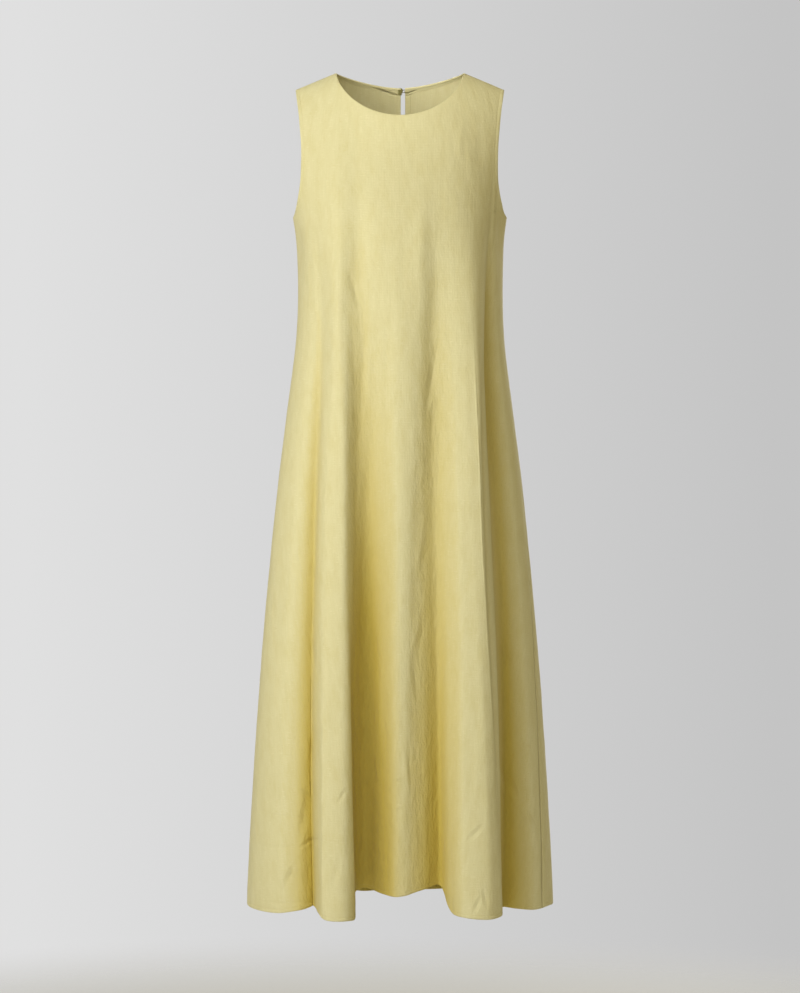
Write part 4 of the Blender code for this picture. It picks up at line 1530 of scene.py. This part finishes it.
@dataclass
class NeckButton:
    """Small covered button on a thread shank, with its cord loop."""

    panel: LinenPanel
    radius: float = 0.0045
    thickness: float = 0.0026
    shank_radius: float = 0.0009
    gap: float = 0.0003
    z: float = -0.0200
    cord_radius: float = 0.0006
    bend_radius: float = 0.0022
    loop_length: float = 0.0120
    cord_step: float = 0.0004
    twist_length: float = 0.0019
    segments: int = 40
    # turns of the shank's thread: their count, half size, first place and steps
    thread_count: int = 8
    thread_size: Place = (0.0033, 0.00078, 0.00055)
    thread_start: Place = (-0.0002, 0.0038, -0.0026)
    thread_aside: float = 0.0007
    thread_down: float = 0.00108
    # the loop's end comes through the slit and is caught down inside
    caught_end: tuple[Place, ...] = (
        *((0.0066, -0.0004, -0.0006), (0.0070, -0.0005, -0.0024)),
        *((0.0090, -0.0006, -0.0032), (0.0122, -0.0001, -0.0030)),
    )

    def on_back(self) -> Matrix:
        """Find the button's place on the outer face of the back.

        Returns:
            Matrix with X across the back and Z straight out of it.
        """
        turn, level = np.array([180.0]), np.array([self.z])
        here = Vector(self.panel.form.cloth(turn, level)[0])
        here += Vector((0.0, self.panel.seam_gap, 0.0))
        out = Vector(self.panel.form.normal(turn, level)[0])
        across = (Vector((1.0, 0.0, 0.0)) - out * out.x).normalized()
        turned = Matrix((across, out.cross(across), out)).transposed().to_4x4()
        return Matrix.Translation(here) @ turned

    def outline(self) -> list[tuple[float, float]]:
        """Draw half the button from the side, shank first.

        Returns:
            Distance from the middle, and height over the cloth.
        """
        under = self.gap + 2 * self.cord_radius + self.gap * 2
        rim = [
            (0.0, self.gap),
            (self.shank_radius, self.gap),
            (self.shank_radius * 0.8, under * 0.6),
            (self.shank_radius, under),
            (self.radius * 0.80, under + 0.00002),
        ]
        for step in range(9):
            turn = math.radians(-70 + 160 * step / 8)
            share = 0.5 + 0.5 * math.sin(turn)
            # the cover is drawn in over the dome
            drawn_in = 1.0 - 0.50 * max(0.0, share - 0.45) ** 1.4
            bulge = self.radius * (0.90 + 0.10 * math.cos(turn)) * drawn_in
            rim.append((bulge, under + self.thickness * (0.04 + 0.86 * share)))
        rim.append((self.radius * 0.30, under + self.thickness * 0.985))
        rim.append((0.0, under + self.thickness))
        return rim

    def build_button(self, cover: Finish) -> Piece:
        """Make the domed button, its shank and the thread that holds it inside.

        Args:
            cover: Finish of the button.

        Returns:
            The finished object.
        """
        mesh = bmesh.new()
        verts = [mesh.verts.new((radius, 0.0, height)) for radius, height in self.outline()]
        edges = [mesh.edges.new(pair) for pair in zip(verts, verts[1:])]
        round_z = {"cent": (0.0, 0.0, 0.0), "axis": (0.0, 0.0, 1.0), "angle": 2 * math.pi}
        bmesh.ops.spin(
            mesh, geom=verts + edges, **round_z, steps=self.segments, use_merge=True
        )
        bmesh.ops.remove_doubles(mesh, verts=mesh.verts[:], dist=1e-6)
        bmesh.ops.recalc_face_normals(mesh, faces=mesh.faces[:])
        # thread of the shank, over the slit's edge and sewn through inside, uneven
        x, y, z = self.thread_start
        for index in range(self.thread_count):
            aside = self.thread_aside * (index % 2)
            place = Vector((x + aside, y - self.thread_down * index, z))
            lean = Matrix.Rotation(math.radians(14 - 9 * (index % 3)), 4, "Z")
            add_bead(mesh, Matrix.Translation(place) @ lean, self.thread_size, 12)
        bmesh.ops.transform(mesh, matrix=self.on_back(), verts=mesh.verts[:])
        return finished("neck_button", mesh, cover)

    def build_loop(self, cord: Finish) -> Piece:
        """Make the two-ply cord from beyond the slit, round the shank and back.

        Args:
            cord: Finish of the cord.

        Returns:
            The finished object.
        """
        height = self.gap + self.cord_radius
        route: list[Vector] = []
        bends = 14
        for centre_x, start in ((0.0, 90.0), (self.loop_length, -90.0)):
            for index in range(bends + 1):
                turn = math.radians(start + 180.0 * index / bends)
                x, y = self.bend_radius * math.cos(turn), self.bend_radius * math.sin(turn)
                route.append(Vector((centre_x + x, y, height)))
        caught = [Vector(place) for place in self.caught_end]
        mesh = bmesh.new()
        for path in (self.evenly(route + route[:1]), self.evenly(caught)):
            for ply in (0.0, math.pi):
                self.add_ply(mesh, path, ply)
        bmesh.ops.recalc_face_normals(mesh, faces=mesh.faces[:])
        bmesh.ops.transform(mesh, matrix=self.on_back(), verts=mesh.verts[:])
        return finished("neck_loop", mesh, cord)

    def evenly(self, route: list[Vector]) -> list[Vector]:
        """Set points evenly along a route.

        Args:
            route: Corners of the route.

        Returns:
            Points about one step of the cord apart.
        """
        places = np.array(route)
        along = run_along(places)
        wanted = np.linspace(0.0, along[-1], max(4, round(along[-1] / self.cord_step)))
        return [Vector([np.interp(w, along, line) for line in places.T]) for w in wanted]

    def add_ply(self, mesh: Mesh, path: list[Vector], turned: float) -> None:
        """Sweep one twisted ply along a path.

        Args:
            mesh: Mesh that takes the ply.
            path: Points of the cord's middle.
            turned: Angle at which the ply starts round the middle.
        """
        ply = self.cord_radius * 0.56
        rings = []
        for index, here in enumerate(path):
            ahead = path[min(index + 1, len(path) - 1)] - path[max(index - 1, 0)]
            run = ahead.normalized()
            across = run.cross(Vector((0.0, 0.0, 1.0))).normalized()
            upward = across.cross(run)
            twist = turned + index * self.cord_step / self.twist_length * 2 * math.pi
            aside = across * math.cos(twist) + upward * math.sin(twist)
            middle = here + aside * (self.cord_radius - ply)
            ring = bmesh.ops.create_circle(mesh, segments=7, radius=ply)["verts"]
            turn = Matrix((across, upward, -run)).transposed().to_4x4()
            bmesh.ops.transform(mesh, matrix=Matrix.Translation(middle) @ turn, verts=ring)
            rings.append(ring)
        for near, far in zip(rings, rings[1:]):
            edges = [
                edge
                for ring in (near, far)
                for edge in {e for v in ring for e in v.link_edges}
                if edge.verts[0] in ring and edge.verts[1] in ring
            ]
            bmesh.ops.bridge_loops(mesh, edges=edges)
        for ring in (rings[0], rings[-1]):
            bmesh.ops.contextual_create(mesh, geom=ring)


# name, place, size across, power in watts and colour
STUDIO_LIGHTS = (
    ("key light", (-1.25, -1.42, -0.12), 1.1, 21.0, "#ffffff"),
    ("front fill", (-0.30, -2.88, 1.20), 1.4, 22.0, "#ffffff"),
    ("low front fill", (-0.30, -1.90, -0.40), 1.2, 3.5, "#ffffff"),
    ("left fill", (2.90, 0.0, 1.00), 1.4, 13.0, "#ffedb8"),
    ("side fill", (-2.80, -1.20, 0.10), 1.4, 4.0, "#ffffff"),
    ("back light", (1.10, 2.90, 0.20), 1.4, 45.0, "#ffffff"),
)


@dataclass
class Studio:
    """Pale floor, soft light from the wearer's right front, and the camera."""

    camera_distance: float = 4.0
    camera_height: float = -0.64
    lens_mm: float = 96.0
    sensor_mm: float = 36.0
    middle: Place = (0.0, 0.0, -0.6)
    floor_z: float = -1.62
    floor_radius: float = 2.0
    # distances from the middle between which the floor fades into the backdrop
    floor_fade: tuple[float, float] = (1.75, 2.55)
    floor_colour: str = "#dcdcda"
    neck_light: float = 46.0
    neck_light_at: Place = (0.04, -1.70, 0.36)
    neck_light_aim: Place = (0.005, 0.05, -0.01)
    ambient: float = 0.225
    ambient_colour: str = "#fdf0c0"
    # painted light: the backdrop that the camera sees is lighter on the wearer's right, where
    # the studio light falls
    backdrop_left: str = "#e0e0e0"
    backdrop_right: str = "#c4c4c4"
    # sideways slope of a view, at both ends of the backdrop's change of tone
    backdrop_slope: float = 0.14

    def build(self) -> None:
        """Make the floor, the lights, the world and the camera."""
        self.add_floor()
        for name, place, size, power, colour in STUDIO_LIGHTS:
            shape = {"shape": "DISK", "size": size, "color": linear(colour)[:3]}
            self.add_light(name, "AREA", (place, self.middle), power, shape)
        # a narrow spot into the neck, so the inside of the back isn't lost
        shape = {"spot_size": math.radians(10.0), "spot_blend": 1.0, "shadow_soft_size": 0.12}
        path = (self.neck_light_at, self.neck_light_aim)
        self.add_light("neck light", "SPOT", path, self.neck_light, shape)
        self.add_world()
        self.add_camera()
        bpy.context.scene.view_settings.view_transform = "Standard"

    def add_floor(self) -> None:
        """Add a round pale floor that fades into the backdrop."""
        # matt paint: one even tone with no shine
        material, tree = fresh_material("studio floor, matt paint")
        place = add_node(tree, "TexCoord", output="Object")
        far = add_node(tree, "VectorMath", {0: place}, "Value", operation="LENGTH")
        low, high = self.floor_fade
        reach = {"Value": far, "From Min": low, "From Max": high}
        fade = add_node(tree, "MapRange", reach, interpolation_type="SMOOTHSTEP")
        values = {"Base Color": linear(self.floor_colour), "Roughness": 0.8}
        paint = add_node(tree, "BsdfPrincipled", values)
        clear = add_node(tree, "BsdfTransparent")
        mixed = add_node(tree, "MixShader", {0: fade, 1: paint, 2: clear})
        add_node(tree, "OutputMaterial", {0: mixed})
        mesh = bmesh.new()
        bmesh.ops.create_circle(mesh, cap_ends=True, segments=96, radius=self.floor_radius)
        bmesh.ops.translate(mesh, verts=mesh.verts[:], vec=(0.0, 0.0, self.floor_z))
        finished("studio_floor", mesh, material)

    @staticmethod
    def add_light(
        name: str, kind: str, path: tuple[Place, Place], power: float, shape: dict[str, object]
    ) -> None:
        """Add a light that the camera doesn't see.

        Args:
            name: Name of the light.
            kind: Blender's name of its type.
            path: Its place, and the point at which it is aimed.
            power: Power in watts.
            shape: Its other settings.
        """
        lamp = bpy.data.lights.new(name, kind)
        lamp.energy = power
        for key, value in shape.items():
            setattr(lamp, key, value)
        made = linked(name, lamp)
        made.location = path[0]
        aim = Vector(path[1]) - Vector(path[0])
        made.rotation_euler = aim.to_track_quat("-Z", "Y").to_euler()
        made.visible_camera = False

    def add_world(self) -> None:
        """Add grey surroundings that light the dress evenly, with a backdrop seen by the camera
        in painted light, a little lighter on the wearer's right.
        """
        world = bpy.data.worlds.new("studio")
        bpy.context.scene.world = world
        world.use_nodes = True
        tree = world.node_tree
        tree.nodes.clear()
        toward = add_node(tree, "TexCoord", output="Generated")
        across = add_node(tree, "SeparateXYZ", {0: toward})
        slope = self.backdrop_slope
        reach = {"Value": across, "From Min": -slope, "From Max": slope}
        share = add_node(tree, "MapRange", reach)
        # painted light across the backdrop, lighter on the wearer's right
        tone = mix(tree, share, self.backdrop_left, self.backdrop_right)
        seen = add_node(tree, "Background", {0: tone, 1: 1.0})
        lit = add_node(tree, "Background", {0: linear(self.ambient_colour), 1: self.ambient})
        looked_at = add_node(tree, "LightPath", output="Is Camera Ray")
        both = add_node(tree, "MixShader", {0: looked_at, 1: lit, 2: seen})
        add_node(tree, "OutputWorld", {0: both})

    def add_camera(self) -> None:
        """Add a level camera straight before the dress."""
        data = bpy.data.cameras.new("camera")
        data.sensor_width = self.sensor_mm
        data.lens = self.lens_mm
        made = linked("camera", data)
        made.location = (0.0, -self.camera_distance, self.camera_height)
        made.rotation_euler = (math.pi / 2, 0.0, 0.0)
        bpy.context.scene.camera = made


def ridden(piece: Piece, slot: str, *nodes: str) -> Piece:
    """Make a piece ride on the dress and report it.

    Args:
        piece: The finished piece.
        slot: Not used.
        nodes: Solids that it stands for.

    Returns:
        The same piece.
    """
    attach(piece, BODY)
    if nodes:
        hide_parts(*nodes)
    LOG.info("%s: %d faces", piece.name, len(piece.data.polygons))
    return piece


def main() -> None:
    """Build the dress piece by piece, then the studio."""
    logging.basicConfig(level=logging.INFO, format="%(name)s: %(message)s")
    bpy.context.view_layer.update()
    form = DressForm()
    linen = WovenLinen("woven linen, facings", FACING_CREASES).make()
    linens = {
        True: WovenLinen("woven linen, front", FRONT_CREASES).make(),
        False: WovenLinen("woven linen, back", BACK_CREASES + FACING_CREASES).make(),
    }
    # spun and twisted, so its fibres show as a fine mottle
    thread = DullFinish("sewing thread, cotton", "#ddd092", "#c3b46c", 0.75, 0.6).make()
    # a mould covered with the dress's cloth, drawn tight and so a little smoother; its dark
    # olive tones are painted shade, for the button sits in shadow at the back of the neck
    cover = DullFinish("button, cloth covered, painted shade", "#979058", "#756e3c", 0.6, 0.9).make()
    # two plies twisted together, dull and darker between them; its dark olive tones are painted
    # shade, for the loop lies in shadow at the back of the neck
    cord = DullFinish("loop, twisted cotton cord, painted shade", "#8d8449", "#6c6431", 0.8, 0.7).make()
    front, back = LinenPanel(form, True), LinenPanel(form, False)
    for panel in (front, back):
        piece = ridden(panel.build(linens[panel.is_front]), "linen", panel.name)
        stitches = ridden(Stitching(panel).build(thread), "linen")
    for part, panel, length, area in (
        (NeckPart.FRONT, front, 0.265, 0.0019),
        (NeckPart.BACK_LEFT, back, 0.098, 0.0009),
        (NeckPart.BACK_RIGHT, back, 0.098, 0.0009),
    ):
        strip = ridden(NeckFacing(panel, part).build(linen), "linen", part.value)
    strip = ridden(SlitFacing(back).build(linen), "linen", "slit_facing")
    closure = NeckButton(back)
    ridden(closure.build_button(cover), "button", "button")
    ridden(closure.build_loop(cord), "cord", "button_loop")
    Studio().build()


if __name__ == "__main__":
    main()
